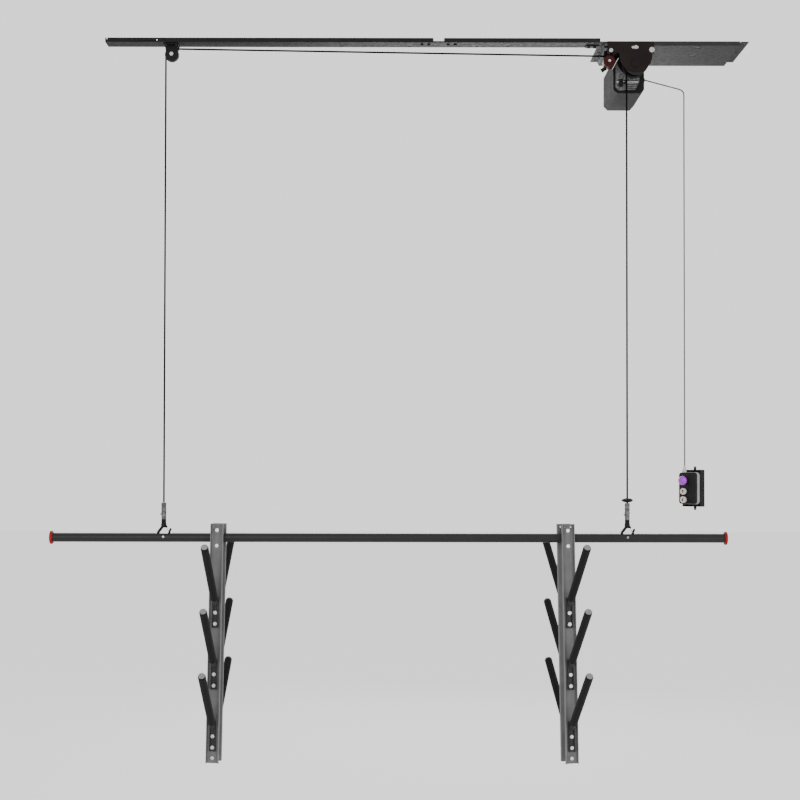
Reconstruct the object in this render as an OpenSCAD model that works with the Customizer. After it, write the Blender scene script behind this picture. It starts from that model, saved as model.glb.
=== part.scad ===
// Ceiling mounted pulley rack: a winch and an end pulley lift a bar that carries two peg trees.
// Working axes: x along the bar, y away from the front, z up, ceiling plane at z = 0.
// Working origin: midway between the two drop ropes. The placed origin is the winch plate bolt centre.

/* [Overall] */
// Distance between the two drop ropes
rope_spacing = 1670; // [1200:10:2200]
// Height from the ceiling plane down to the bar axis
bar_drop = 1798; // [1200:5:2600]
// Overall length of the load bar, end caps included
bar_length = 2438; // [1900:2:3200]
// Sideways offset of the bar middle from the rope midpoint
bar_shift = -25; // [-60:1:60]

/* [Rope] */
// Diameter of the coated lifting rope
rope_d = 6.5; // [4:0.5:8]
// Radius from the drum axis to the rope centre
drum_rope_r = 32; // [28:1:38]
// Radius from the end sheave axis to the rope centre
sheave_rope_r = 22; // [18:1:28]

/* [Ceiling rail] */
// Width of the channel rail
rail_width = 62; // [40:1:90]
// Height of the channel rail
rail_height = 16; // [12:1:30]
// Sheet thickness of the rail and the winch plate
sheet_t = 3; // [2:0.5:4]

/* [Winch plate] */
// Length of the tray between its raised end tabs
tray_length = 477; // [420:1:560]
// Depth of the tray, front to back
tray_depth = 260; // [230:1:300]
// Length of each raised end tab
tab_length = 33; // [26:1:45]

/* [Winch] */
// Radius of the round lower edge of the frame plates
frame_r = 59; // [57:1:74]
// Width of the motor housing
motor_width = 114; // [110:1:130]
// Height of the motor housing
motor_height = 138; // [137:1:160]
// Length of the motor housing
motor_length = 248; // [225:1:300]

/* [Load bar] */
// Outside diameter of the bar tube
bar_d = 32; // [28:1:42]
// Wall thickness of the bar tube
bar_wall = 2.5; // [2:0.25:3.5]

/* [Peg trees] */
// Distance of the left tree inside the left rope
tree_left_in = 197; // [100:1:330]
// Distance of the right tree inside the right rope
tree_right_in = 222; // [100:1:330]
// Resting turn of the left tree about the vertical
tree_left_yaw = -4; // [-8:0.5:8]
// Resting turn of the right tree about the vertical
tree_right_yaw = 11; // [-11:0.5:11]
// Width of a tree channel
channel_width = 46; // [36:1:60]
// Depth of the channel flanges
channel_flange = 14; // [10:1:20]
// Outward lean of each tree, foot away from the middle
tree_lean = 1; // [0:0.1:1.5]
// Length of a peg along its own axis
peg_length = 300; // [180:5:380]
// Vertical pitch between pegs
peg_pitch = 220.5; // [190:0.5:300]
// Outside diameter of the foam sleeve
foam_d = 28; // [24:1:36]

/* [Pendant] */
// Diameter of the control cable
cable_d = 5; // [4:0.5:8]
// Sideways distance from the winch gland to the hanging cable
cable_reach = 143; // [110:1:240]
// Height from the ceiling plane to the top of the pendant gland
pendant_drop = 1536; // [900:1:2000]
// Turn of the pendant about its cable
pendant_yaw = -50; // [-90:1:90]

/* [Hidden] */
$fn = 48;
eps = 0.01;
fit = 0.3;
rope_r = rope_d / 2;
half_rope = rope_spacing / 2;

// rail
rail_front = -45;
rail_rear = rail_front + rail_width;
rail_left_end = -half_rope - 212;
rail_joint_x = 153;
rail_notch = 38;
splice_half = 85;
screw_r = 3.5;
screw_row_y = 6;
left_screws = [159, 181, 200, 382, 455, 518, 637, 881];
right_screws = [84, 329, 441, 507];
joint_bolt_xs = [-60, -35, 35, 60];
hole_r = 3.1;

// winch plate
tray_front = -10;
tray_rear = tray_front + tray_depth;
tray_mid_x = half_rope + 171.5;
tray_x0 = tray_mid_x - tray_length / 2;
tray_x1 = tray_mid_x + tray_length / 2;
tab_hole_dx = tray_length / 2 + tab_length / 2;
tab_hole_inset = 25;
joggle = 7;
tray_mid_y = (tray_front + tray_rear) / 2;
tab_hole_dy = tray_depth / 2 - tab_hole_inset;
tab_hole_r = 4.5;
slot_length = 21;
slot_width = 10;
slot_x = tray_mid_x + 92;
slot_ys = [20, 125];
rail_right_end = tray_x0 - tab_length - 1;
screw_xs = concat([for (d = left_screws) -half_rope + d], [for (d = right_screws) rail_right_end - d]);
strap_x0 = rail_right_end - 48;
strap_x1 = tray_x0 + 44;
strap_y0 = tray_front + 0.5;
strap_w = 24;
strap_bolt_xs = [strap_x0 + 12, strap_x0 + 34, strap_x1 - 12];

// winch axes
drum_x = half_rope + drum_rope_r;
drum_z = -48 - drum_rope_r;
frame_z = -53;
frame_top = -1;
frame_t = 3;
front_plate_y = tray_front - frame_t;
drum_flange_r = drum_rope_r + 10;
drum_flange_t = 2.5;
drum_core_r = drum_rope_r - rope_r - fit;
shaft_r = 7;
turn_pitch = rope_d + 0.5;
turn_r = rope_r - 0.05;
right_turn_y = 0;
left_turn_y = right_turn_y + 3 * turn_pitch;
drum_y0 = right_turn_y - rope_r - 2.2 - drum_flange_t;
drum_y1 = left_turn_y + 2 * turn_pitch + rope_r + 1 + drum_flange_t;
rear_plate_y = drum_y1 + 2;
tie_r = 4;
// tie bolts: above the drum and at the right ear
tie_points = [[0, -23], [58, -32]];
ear_out = 7;
ear_drop = -46;
arm_drop = -44;

// end sheave
sheave_x = -half_rope + sheave_rope_r;
sheave_z = -28 - sheave_rope_r;
sheave_r = sheave_rope_r + rope_r;
sheave_w = 14;
ear_gap = 20;
ear_t = 3;
axle_r = 4;
guide_axle_r = 3;

// guide roller
guide_x = half_rope - 63;
guide_r = 21;
long_rope_drop = (drum_z + drum_rope_r) - (sheave_z + sheave_rope_r);
guide_t = (guide_x - sheave_x) / (drum_x - sheave_x);
guide_rope_z = sheave_z + sheave_rope_r + long_rope_drop * guide_t;
guide_z = guide_rope_z - rope_r - fit - guide_r;
guide_y0 = -9;
guide_y1 = left_turn_y + 10;
guide_tie_x = guide_x + 5;
guide_tie_z = -34;

// motor housing
box_y0 = rear_plate_y + frame_t + 2;
cover_t = 3;
box_y1 = box_y0 + motor_length;
box_x = drum_x - 17;
box_top = drum_z + 43;
box_z = box_top - motor_height / 2;
chamfer = 15;
shell = 3;
web_y = box_y0 + 46;
foot_y0 = box_y0 + 139;
foot_length = 30;
foot_hole_y = foot_y0 + foot_length / 2;
web_t = 4;
tooth_m = 1;
pinion_teeth = 12;
output_teeth = 40;
idler_teeth = 36;
backlash = 0.16;
stage_a = tooth_m * (output_teeth + pinion_teeth) / 2;
stage_b = tooth_m * (idler_teeth + pinion_teeth) / 2;
idler_angle = 240;
motor_angle = 259;
idler_x = drum_x + stage_a * cos(idler_angle);
idler_z = drum_z + stage_a * sin(idler_angle);
motor_x = idler_x + stage_b * cos(motor_angle);
motor_z = idler_z + stage_b * sin(motor_angle);
gear_a_y = box_y0 + 8;
gear_b_y = gear_a_y + 18;
gear_w = 12;
rotor_shaft_r = 5;
idler_shaft_r = 4;
stator_r = 44;
stator_bore = 26.5;
rotor_r = 26;
stator_y0 = box_y0 + 94;
stator_y1 = stator_y0 + 65;

// limit switch
limit_z = drum_z - drum_flange_r - 18;
lever_pivot_y = 33;
lever_ring_r = 10;
lever_eye_r = 6;

// load end
bar_z = -bar_drop;
bar_r = bar_d / 2;
bar_half = bar_length / 2;
cap_t = 10;
cap_r = bar_r + 8;
cap_round = 4;
hook_r = 20;
hook_wire_r = 5;
hook_tip_r = 3.8;
bar_slot_l = 2 * hook_r + 22;
bar_slot_w = 2 * hook_wire_r + 3;
pin_r = 4;
bar_inner_r = bar_r - bar_wall;
hook_cz = hook_r + hook_wire_r + 2.5 - bar_inner_r;
hook_neck = 31;
hook_top = hook_cz + hook_neck;
head_r = 8.5;
head_pin_r = 3.2;
ferrule_r = 8.5;
ferrule_length = 60;
ferrule_z0 = hook_top + 21;
ferrule_z1 = ferrule_z0 + ferrule_length;
disc_half = 8;
disc_z = ferrule_z1 + disc_half + 2.5;
disc_r = 20.5;
latch_x = 10;
latch_z = hook_cz + 24;
latch_pin_r = 1.15;
pin_z = hook_cz - hook_r + hook_wire_r + pin_r + 0.2;

// trees
tree_left_x = half_rope - tree_left_in;
tree_right_x = half_rope - tree_right_in;
web_gap = bar_r + 6;
clamp_r = bar_r + 11.7;
foot_bolt = -786;
channel_t = 2.5;
tree_top = clamp_r + 23.3;
tree_bottom = foot_bolt - 19;
bolt_gap = 40;
first_bolt = -267;
spacer_r = clamp_r - bar_r - fit;
bolt_r = 4;
peg_tube_r = 9.5;
peg_wall = 2;
peg_angle = 45;
peg_rise = 32;
bracket_w = 22;
bracket_d = 10;
bracket_foot = 14;
foam_start = 26;

// pendant
gland_x = box_x + motor_width / 2;
cable_x = gland_x + 20 + cable_reach;
cable_y = 140;
cable_z = box_top - 64;
cable_fall = 39;
cable_bend = 4.2 * cable_d;
cable_r = cable_d / 2;
body_dx = 25;
cover_w = 76;
cover_h = 115;
cover_d = 10;
rim_d = 14;
back_w = 84;
back_h = 136;
back_d = 24;
gland_h = 25;
body_z = -pendant_drop - gland_h - cover_h / 2;
buttons_dx = -11;
stop_dz = 28;
up_dz = -11.5;
down_dz = -42;
button_r = 11.8;
stop_r = 17;
wall = 2.5;

origin_x = tray_mid_x;
origin_y = tray_mid_y;

// ---------- helpers ----------

// moves working coordinates to the placed origin
module place() {
    translate([-origin_x, -origin_y, 0]) children();
}

module box(lo, hi) {
    translate(lo) cube([hi[0] - lo[0], hi[1] - lo[1], hi[2] - lo[2]]);
}

module rod_y(x, y, z, r, l) {
    translate([x, y, z]) rotate([-90, 0, 0]) cylinder(h = l, r = r);
}

module rod_x(x, y, z, r, l) {
    translate([x, y, z]) rotate([0, 90, 0]) cylinder(h = l, r = r);
}

// extrudes a drawing in the x-z plane between two depths
module plate_xz(y0, y1) {
    translate([0, y1, 0]) rotate([90, 0, 0]) linear_extrude(height = y1 - y0) children();
}

module at2(x, y) {
    translate([x, y]) children();
}

// hexagon bolt along +y: head at the front, shank behind it
module bolt_y(x, y, z, r, head_h, l) {
    translate([x, y, z]) rotate([-90, 0, 0]) {
        translate([0, 0, -head_h]) cylinder(h = head_h, r = r * 1.8, $fn = 6);
        translate([0, 0, -eps]) cylinder(h = l, r = r);
    }
}

module nut_y(x, y, z, r, h) {
    translate([x, y, z]) rotate([-90, 0, 0]) difference() {
        cylinder(h = h, r = r * 1.8, $fn = 6);
        translate([0, 0, -1]) cylinder(h = h + 2, r = r);
    }
}

// bolt pointing up with its head below
module bolt_up(x, y, z, r, head_h, l) {
    translate([x, y, z]) {
        translate([0, 0, -head_h]) cylinder(h = head_h, r = r * 1.8, $fn = 6);
        translate([0, 0, -eps]) cylinder(h = l, r = r);
    }
}

module octagon(w, h, c) {
    polygon([[-w / 2 + c, -h / 2], [w / 2 - c, -h / 2], [w / 2, -h / 2 + c], [w / 2, h / 2 - c],
        [w / 2 - c, h / 2], [-w / 2 + c, h / 2], [-w / 2, h / 2 - c], [-w / 2, -h / 2 + c]]);
}

module rounded(w, h, r) {
    square([w - 2 * r, h], center = true);
    square([w, h - 2 * r], center = true);
    for (sx = [-1, 1])
        for (sy = [-1, 1])
            translate([sx * (w / 2 - r), sy * (h / 2 - r)]) circle(r = r);
}

// spur gear outline, one tooth centred on the phase angle
function tooth_pts(n, m, a, r0, r1, r2, w) = [
    [r0 * cos(a - w * 1.6), r0 * sin(a - w * 1.6)],
    [r1 * cos(a - w), r1 * sin(a - w)],
    [r2 * cos(a - w * 0.45), r2 * sin(a - w * 0.45)],
    [r2 * cos(a + w * 0.45), r2 * sin(a + w * 0.45)],
    [r1 * cos(a + w), r1 * sin(a + w)],
    [r0 * cos(a + w * 1.6), r0 * sin(a + w * 1.6)]];

module gear_2d(n, m, phase) {
    pr = n * m / 2;
    half_w = (PI * m / 4 - backlash / 2) / pr * 180 / PI;
    polygon([for (i = [0 : n - 1])
        each tooth_pts(n, m, phase + i * 360 / n, pr - 1.2 * m, pr, pr + 0.85 * m, half_w)]);
}

// ---------- ceiling rail ----------

module channel_rail(x0, x1) {
    box([x0, rail_front, -rail_height], [x1, rail_rear, -rail_height + sheet_t]);
    box([x0, rail_front, -rail_height], [x1, rail_front + sheet_t, 0]);
    box([x0, rail_rear - sheet_t, -rail_height], [x1, rail_rear, 0]);
}

module rail_holes() {
    for (x = screw_xs)
        translate([x, screw_row_y, -rail_height - 1]) cylinder(h = sheet_t + 2, r = screw_r);
    for (x = joint_bolt_xs)
        translate([rail_joint_x + x, -14, -rail_height - 1]) cylinder(h = sheet_t + 2, r = hole_r);
    for (dx = [-18, 18])
        translate([sheave_x + dx, -22, -rail_height - 1]) cylinder(h = sheet_t + 2, r = hole_r);
    for (x = strap_bolt_xs)
        translate([x, strap_y0 + strap_w / 2, -rail_height - 1]) cylinder(h = sheet_t + 2, r = hole_r);
    rod_y(sheave_x - 48, rail_front - 1, -8, 2.6, sheet_t + 2);
}

module rail_left() color([0.13, 0.13, 0.14]) place() {
    difference() {
        union() {
            channel_rail(rail_left_end, rail_joint_x);
            box([rail_left_end, rail_front, -rail_height], [rail_left_end + sheet_t, rail_rear, 0]);
        }
        rail_holes();
        box([rail_joint_x - rail_notch / 2, rail_front - 1, -rail_height + sheet_t],
            [rail_joint_x + 1, rail_front + sheet_t + 1, 1]);
        box([rail_left_end + sheet_t, rail_front - 1, -rail_height + sheet_t + 6],
            [rail_left_end + sheet_t + 5, rail_front + sheet_t + 1, 1]);
    }
}

module rail_right() color([0.13, 0.13, 0.14]) place() {
    difference() {
        channel_rail(rail_joint_x + 0.2, rail_right_end);
        rail_holes();
        box([rail_joint_x - 1, rail_front - 1, -rail_height + sheet_t],
            [rail_joint_x + rail_notch / 2, rail_front + sheet_t + 1, 1]);
    }
}

module rail_joiners() color([0.16, 0.16, 0.17]) place() {
    difference() {
        union() {
            box([rail_joint_x - splice_half, rail_front + sheet_t + 1, -rail_height + sheet_t],
                [rail_joint_x + splice_half, rail_rear - sheet_t, -rail_height + 2 * sheet_t]);
            box([rail_joint_x - splice_half, rail_rear - 2 * sheet_t, -rail_height + sheet_t],
                [rail_joint_x + splice_half, rail_rear - sheet_t, -1]);
        }
        for (x = joint_bolt_xs)
            translate([rail_joint_x + x, -14, -rail_height]) cylinder(h = 3 * sheet_t, r = hole_r);
        for (x = screw_xs)
            translate([x, screw_row_y, -rail_height]) cylinder(h = 3 * sheet_t, r = screw_r);
    }
    difference() {
        box([strap_x0, strap_y0, -rail_height - sheet_t], [strap_x1, strap_y0 + strap_w, -rail_height]);
        for (x = strap_bolt_xs)
            translate([x, strap_y0 + strap_w / 2, -rail_height - sheet_t - 1])
                cylinder(h = sheet_t + 2, r = hole_r);
    }
}

module rail_bolts() color([0.75, 0.75, 0.76]) place() {
    for (x = joint_bolt_xs)
        bolt_up(rail_joint_x + x, -14, -rail_height, 3, 3.5, 12);
    for (dx = [-18, 18])
        bolt_up(sheave_x + dx, -22, -rail_height - ear_t, 3, 3.5, 12);
    for (x = strap_bolt_xs)
        bolt_up(x, strap_y0 + strap_w / 2, -rail_height - sheet_t, 3, 3.5, 12);
}

module winch_plate() color([0.30, 0.30, 0.31]) place() {
    difference() {
        union() {
            box([tray_x0, tray_front, -rail_height], [tray_x1, tray_rear, -rail_height + sheet_t]);
            box([tray_x0, tray_front, -rail_height], [tray_x1, tray_front + sheet_t, 0]);
            box([tray_x0, tray_rear - sheet_t, -rail_height], [tray_x1, tray_rear, 0]);
            for (sx = [-1, 1])
                translate([tray_mid_x, 0, 0]) scale([sx, 1, 1]) {
                    plate_xz(tray_front + 4, tray_rear - 4) polygon([
                        [tray_length / 2 - sheet_t, -rail_height], [tray_length / 2, -rail_height],
                        [tray_length / 2 + joggle, -sheet_t], [tray_length / 2 + joggle, 0],
                        [tray_length / 2 + joggle - sheet_t, 0]]);
                    box([tray_length / 2 + joggle - eps, tray_front + 4, -sheet_t],
                        [tray_length / 2 + tab_length, tray_rear - 4, 0]);
                }
        }
        for (sx = [-1, 1])
            for (sy = [-1, 0, 1])
                translate([tray_mid_x + sx * tab_hole_dx, tray_mid_y + sy * tab_hole_dy, -sheet_t - 1])
                    cylinder(h = sheet_t + 2, r = tab_hole_r);
        for (y = slot_ys)
            translate([slot_x, y, -rail_height - 1]) linear_extrude(height = sheet_t + 2)
                rounded(slot_length, slot_width, slot_width / 2 - eps);
        translate([strap_bolt_xs[2], strap_y0 + strap_w / 2, -rail_height - 1])
            cylinder(h = sheet_t + 2, r = hole_r);
        for (dx = [-40, 40])
            translate([drum_x + dx, rear_plate_y + 12, -rail_height - 1])
                cylinder(h = sheet_t + 2, r = hole_r);
        translate([guide_x + 14, guide_y1 + 16, -rail_height - 1]) cylinder(h = sheet_t + 2, r = hole_r);
        for (dx = [-30, 30])
            translate([box_x + dx, foot_hole_y, -rail_height - 1]) cylinder(h = sheet_t + 2, r = hole_r);
    }
}

// ---------- end pulley ----------

module ear_outline() {
    drop = sheave_z + rail_height;
    polygon([[-27, 0], [27, 0], [23, -10], [20, drop], [-20, drop], [-23, -10]]);
    translate([0, drop]) circle(r = 20);
}

module pulley_bracket() color([0.10, 0.10, 0.11]) place() {
    difference() {
        union() {
            for (y = [-ear_gap / 2 - ear_t, ear_gap / 2])
                translate([sheave_x, 0, -rail_height]) plate_xz(y, y + ear_t) ear_outline();
            box([sheave_x - 27, -ear_gap / 2 - 22, -rail_height - ear_t],
                [sheave_x + 27, ear_gap / 2 + ear_t, -rail_height]);
        }
        rod_y(sheave_x, -40, sheave_z, axle_r, 80);
        for (dx = [-18, 18])
            translate([sheave_x + dx, -22, -rail_height - ear_t - 1]) cylinder(h = ear_t + 2, r = hole_r);
    }
}

module grooved_wheel(outer, groove_centre, width, groove, bore) {
    difference() {
        rotate([-90, 0, 0]) translate([0, 0, -width / 2]) cylinder(h = width, r = outer);
        rotate([-90, 0, 0]) rotate_extrude() translate([groove_centre, 0]) circle(r = groove);
        rotate([-90, 0, 0]) difference() {
            translate([0, 0, -groove]) cylinder(h = 2 * groove, r = outer + 1);
            translate([0, 0, -groove - 1]) cylinder(h = 2 * groove + 2, r = groove_centre);
        }
        rotate([-90, 0, 0]) translate([0, 0, -width]) cylinder(h = 2 * width, r = bore);
    }
}

module pulley_sheave() color([0.18, 0.17, 0.17]) place()
    translate([sheave_x, 0, sheave_z])
        grooved_wheel(sheave_r, sheave_rope_r, sheave_w, rope_r + fit, axle_r + 0.05);

module axle_bolts() color([0.80, 0.80, 0.80]) place() {
    bolt_y(sheave_x, -ear_gap / 2 - ear_t, sheave_z, axle_r, 4, ear_gap + 2 * ear_t + 9);
    nut_y(sheave_x, ear_gap / 2 + ear_t, sheave_z, axle_r, 6);
    bolt_y(guide_x, guide_y0 - 1.5, guide_z, guide_axle_r, 2.5, guide_y1 - guide_y0 + 13);
}

// ---------- winch frame ----------

module frame_outline() {
    intersection() {
        union() {
            at2(drum_x, frame_z) circle(r = frame_r);
            at2(drum_x - frame_r, frame_z) square([2 * frame_r, frame_top - frame_z]);
            at2(drum_x, ear_drop) square([frame_r + ear_out, frame_top - ear_drop]);
        }
        at2(drum_x - 2 * frame_r, -4 * frame_r) square([4 * frame_r, 4 * frame_r + frame_top]);
    }
}

module tie_holes(y) {
    for (p = tie_points)
        rod_y(drum_x + p[0], y - 1, p[1], tie_r, frame_t + 2);
}

module winch_front_plate() color([0.12, 0.07, 0.06]) place() {
    difference() {
        plate_xz(front_plate_y, front_plate_y + frame_t) {
            frame_outline();
            at2(guide_x - 8, arm_drop) square([drum_x - guide_x - 40, frame_top - arm_drop]);
        }
        rod_y(drum_x, front_plate_y - 1, drum_z, 11, frame_t + 2);
        tie_holes(front_plate_y);
        rod_y(guide_tie_x, front_plate_y - 1, guide_tie_z, tie_r, frame_t + 2);
    }
    difference() {
        rod_y(drum_x, front_plate_y - 3, drum_z, 16, 3 + eps);
        rod_y(drum_x, front_plate_y - 1.5, drum_z, 11, 5);
    }
}

module winch_rear_plate() color([0.08, 0.08, 0.08]) place() {
    difference() {
        union() {
            plate_xz(rear_plate_y, rear_plate_y + frame_t) intersection() {
                frame_outline();
                at2(drum_x - 200, -300) square([400, 300 - rail_height]);
            }
            box([drum_x - 55, rear_plate_y, -rail_height - 3],
                [drum_x + 55, rear_plate_y + 22, -rail_height]);
        }
        rod_y(drum_x, rear_plate_y - 1, drum_z, 11, frame_t + 2);
        tie_holes(rear_plate_y);
        for (dx = [-40, 40])
            translate([drum_x + dx, rear_plate_y + 12, -rail_height - 4]) cylinder(h = 6, r = hole_r);
    }
}

module winch_bolts() color([0.78, 0.78, 0.78]) place() {
    for (p = tie_points)
        bolt_y(drum_x + p[0], front_plate_y, p[1], tie_r, 3.5, rear_plate_y - front_plate_y + frame_t + 8);
    bolt_y(guide_tie_x, front_plate_y, guide_tie_z, tie_r, 3.5, guide_y1 - front_plate_y + 12);
    for (dx = [-40, 40])
        bolt_up(drum_x + dx, rear_plate_y + 12, -rail_height - 3, 3, 3.5, 12);
    bolt_up(guide_x + 14, guide_y1 + 16, -rail_height - 3, 3, 3.5, 12);
    for (dx = [-30, 30])
        bolt_up(box_x + dx, foot_hole_y, -rail_height - 4, 3, 3.5, 12);
}

module drum() color([0.09, 0.09, 0.09]) place() {
    difference() {
        union() {
            rod_y(drum_x, drum_y0, drum_z, drum_core_r, drum_y1 - drum_y0);
            rod_y(drum_x, drum_y0, drum_z, drum_flange_r, drum_flange_t);
            rod_y(drum_x, drum_y1 - drum_flange_t, drum_z, drum_flange_r, drum_flange_t);
        }
        rod_y(drum_x, drum_y0 - 1, drum_z, shaft_r, drum_y1 - drum_y0 + 2);
        for (a = [30 : 60 : 330])
            rod_y(drum_x + 18 * cos(a), drum_y0 - 1, drum_z + 18 * sin(a), 4.5, drum_y1 - drum_y0 + 2);
    }
}

module rope_ring(y) {
    translate([drum_x, y, drum_z]) rotate([-90, 0, 0]) rotate_extrude()
        translate([drum_core_r + turn_r + 0.02, 0]) circle(r = turn_r);
}

module drum_rope() color([0.07, 0.07, 0.07]) place() {
    for (k = [1, 2]) {
        rope_ring(right_turn_y + k * turn_pitch);
        rope_ring(left_turn_y + k * turn_pitch);
    }
}

module output_shaft() color([0.55, 0.55, 0.56]) place() {
    difference() {
        union() {
            rod_y(drum_x, front_plate_y - 1, drum_z, shaft_r, gear_a_y + gear_w + 3 - front_plate_y);
            plate_xz(gear_a_y, gear_a_y + gear_w)
                at2(drum_x, drum_z) gear_2d(output_teeth, tooth_m, idler_angle);
        }
        for (a = [0 : 72 : 288])
            rod_y(drum_x + 12.5 * cos(a), gear_a_y - 1, drum_z + 12.5 * sin(a), 3, gear_w + 2);
    }
}

module bearing_y(x, y, z, r_out, r_in, w) {
    difference() {
        rod_y(x, y, z, r_out, w);
        rod_y(x, y - 1, z, r_in, w + 2);
    }
}

module bearings() color([0.60, 0.60, 0.62]) place() {
    bearing_y(drum_x, front_plate_y - 1.5, drum_z, 11, shaft_r + 0.05, 4.5);
    bearing_y(drum_x, rear_plate_y, drum_z, 11, shaft_r + 0.05, 3);
    bearing_y(motor_x, web_y - 1, motor_z, 11, rotor_shaft_r + 0.05, web_t + 2);
    bearing_y(motor_x, box_y1 - shell - 9, motor_z, 11, rotor_shaft_r + 0.05, 8);
}

module guide_roller() color([0.35, 0.05, 0.05]) place() {
    difference() {
        rod_y(guide_x, guide_y0, guide_z, guide_r, guide_y1 - guide_y0);
        rod_y(guide_x, guide_y0 - 1, guide_z, guide_axle_r + 0.05, guide_y1 - guide_y0 + 2);
        rod_y(guide_x, guide_y0 - 1, guide_z, 13, 3);
    }
}

module guide_bracket() color([0.08, 0.08, 0.09]) place() {
    ear_y = guide_y1 + 1;
    difference() {
        union() {
            plate_xz(ear_y, ear_y + 4) {
                at2(guide_x, guide_z) circle(r = 15);
                at2(guide_x - 15, guide_z) square([32, -guide_z - rail_height]);
                at2(guide_x, guide_z) rotate(215) square([34, 14]);
            }
            box([guide_x + 1, ear_y, -rail_height - 3], [guide_x + 17 + 10, ear_y + 25, -rail_height]);
        }
        rod_y(guide_x, ear_y - 1, guide_z, guide_axle_r, 7);
        rod_y(guide_tie_x, ear_y - 1, guide_tie_z, tie_r, 7);
        translate([guide_x + 14, guide_y1 + 16, -rail_height - 4]) cylinder(h = 6, r = hole_r);
        box([guide_x - 40, ear_y - 1, -rail_height - sheet_t - 4], [tray_x0, ear_y + 6, 0]);
    }
}

// ---------- motor housing ----------

module motor_housing() color([0.26, 0.26, 0.27]) place() {
    y0 = box_y0 + cover_t;
    difference() {
        union() {
            plate_xz(y0, box_y1) at2(box_x, box_z) octagon(motor_width, motor_height, chamfer);
            for (dx = [-30, 30])
                box([box_x + dx - 12, foot_y0, box_top - 1],
                    [box_x + dx + 12, foot_y0 + foot_length, -rail_height]);
        }
        plate_xz(y0 - 1, web_y) at2(box_x, box_z)
            octagon(motor_width - 2 * shell, motor_height - 2 * shell, chamfer - 1);
        plate_xz(web_y + web_t, box_y1 - shell) at2(box_x, box_z)
            octagon(motor_width - 2 * shell, motor_height - 2 * shell, chamfer - 1);
        for (dx = [-30, 30])
            box([box_x + dx - 13, foot_y0 + 4, box_top + 3],
                [box_x + dx + 13, foot_y0 + foot_length + 1, -rail_height - 4]);
        for (dx = [-30, 30])
            translate([box_x + dx, foot_hole_y, -rail_height - 5]) cylinder(h = 6, r = hole_r);
        rod_y(motor_x, web_y - 1, motor_z, 11, web_t + 2);
        rod_y(idler_x, web_y - 1, idler_z, idler_shaft_r + 0.05, web_t + 2);
        for (k = [0 : 4])
            box([box_x - 30, box_y1 - shell - 1, box_z - 44 + k * 8],
                [box_x + 30, box_y1 + 1, box_z - 40 + k * 8]);
        rod_x(box_x + motor_width / 2 - shell - 1, cable_y, cable_z, 6, shell + 2);
    }
    difference() {
        rod_y(motor_x, box_y1 - shell - 10, motor_z, 14, 10 + eps);
        rod_y(motor_x, box_y1 - shell - 11, motor_z, 11, 10);
    }
    difference() {
        plate_xz(stator_y0 + 28, stator_y0 + 36) at2(box_x, box_z)
            octagon(motor_width - 2, motor_height - 2, chamfer);
        rod_y(motor_x, stator_y0, motor_z, stator_r + 0.02, 80);
        rod_y(box_x + 33, stator_y0, box_top - 22, 14.05, 80);
    }
}

module motor_cover() color([0.05, 0.05, 0.05]) place() {
    difference() {
        plate_xz(box_y0, box_y0 + cover_t) at2(box_x, box_z) octagon(motor_width, motor_height, chamfer);
        rod_y(drum_x, box_y0 - 1, drum_z, 12, cover_t + 2);
        rod_y(idler_x, box_y0 + 1, idler_z, idler_shaft_r + 0.05, cover_t);
    }
    plate_xz(box_y0 - 2, box_y0 + eps) at2(box_x, box_z - 41) rounded(86, 46, 5);
    for (k = [0 : 5])
        box([box_x - 16, box_y0 - 4, box_z - 60 + k * 7], [box_x + 38, box_y0 - 2 + eps, box_z - 57 + k * 7]);
}

module stator() color([0.45, 0.42, 0.38]) place() {
    difference() {
        rod_y(motor_x, stator_y0, motor_z, stator_r, stator_y1 - stator_y0);
        rod_y(motor_x, stator_y0 - 1, motor_z, stator_bore, stator_y1 - stator_y0 + 2);
    }
    for (y = [stator_y0 - 10, stator_y1])
        difference() {
            rod_y(motor_x, y, motor_z, 38, 10);
            rod_y(motor_x, y - 1, motor_z, 29, 12);
        }
}

module rotor() color([0.62, 0.62, 0.63]) place() {
    rod_y(motor_x, gear_b_y - 2, motor_z, rotor_shaft_r, box_y1 - shell - gear_b_y);
    rod_y(motor_x, stator_y0 - 2, motor_z, rotor_r, stator_y1 - stator_y0 + 4);
    rod_y(motor_x, stator_y0 - 6, motor_z, 20, stator_y1 - stator_y0 + 12);
    plate_xz(gear_b_y - 1, gear_b_y + gear_w + 1) at2(motor_x, motor_z)
        gear_2d(pinion_teeth, tooth_m, motor_angle + 180 + 180 / pinion_teeth);
}

module gear_idler() color([0.50, 0.50, 0.52]) place() {
    rod_y(idler_x, box_y0 + 1.2, idler_z, idler_shaft_r, web_y + web_t - box_y0 - 1.2);
    plate_xz(gear_a_y - 1, gear_b_y + eps) at2(idler_x, idler_z)
        gear_2d(pinion_teeth, tooth_m, idler_angle + 180 + 180 / pinion_teeth);
    difference() {
        plate_xz(gear_b_y, gear_b_y + gear_w) at2(idler_x, idler_z)
            gear_2d(idler_teeth, tooth_m, motor_angle);
        for (a = [0 : 60 : 300])
            rod_y(idler_x + 11 * cos(a), gear_b_y - 1, idler_z + 11 * sin(a), 3, gear_w + 2);
    }
}

module capacitor() color([0.72, 0.72, 0.74]) place() {
    can_y = stator_y0 + 10;
    rod_y(box_x + 33, can_y, box_top - 22, 14, 70);
    for (dx = [28, 38])
        rod_y(box_x + dx, can_y - 4, box_top - 22, 1.5, 5);
}

module limit_switch() color([0.12, 0.12, 0.13]) place() {
    box([half_rope - 22, lever_pivot_y - 3, limit_z - 12], [half_rope - 8, box_y0 - 4, limit_z + 14]);
    box([half_rope - 22, box_y0 - 4 - eps, limit_z - 6], [half_rope - 8, box_y0 - 2 + eps, limit_z + 8]);
}

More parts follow.
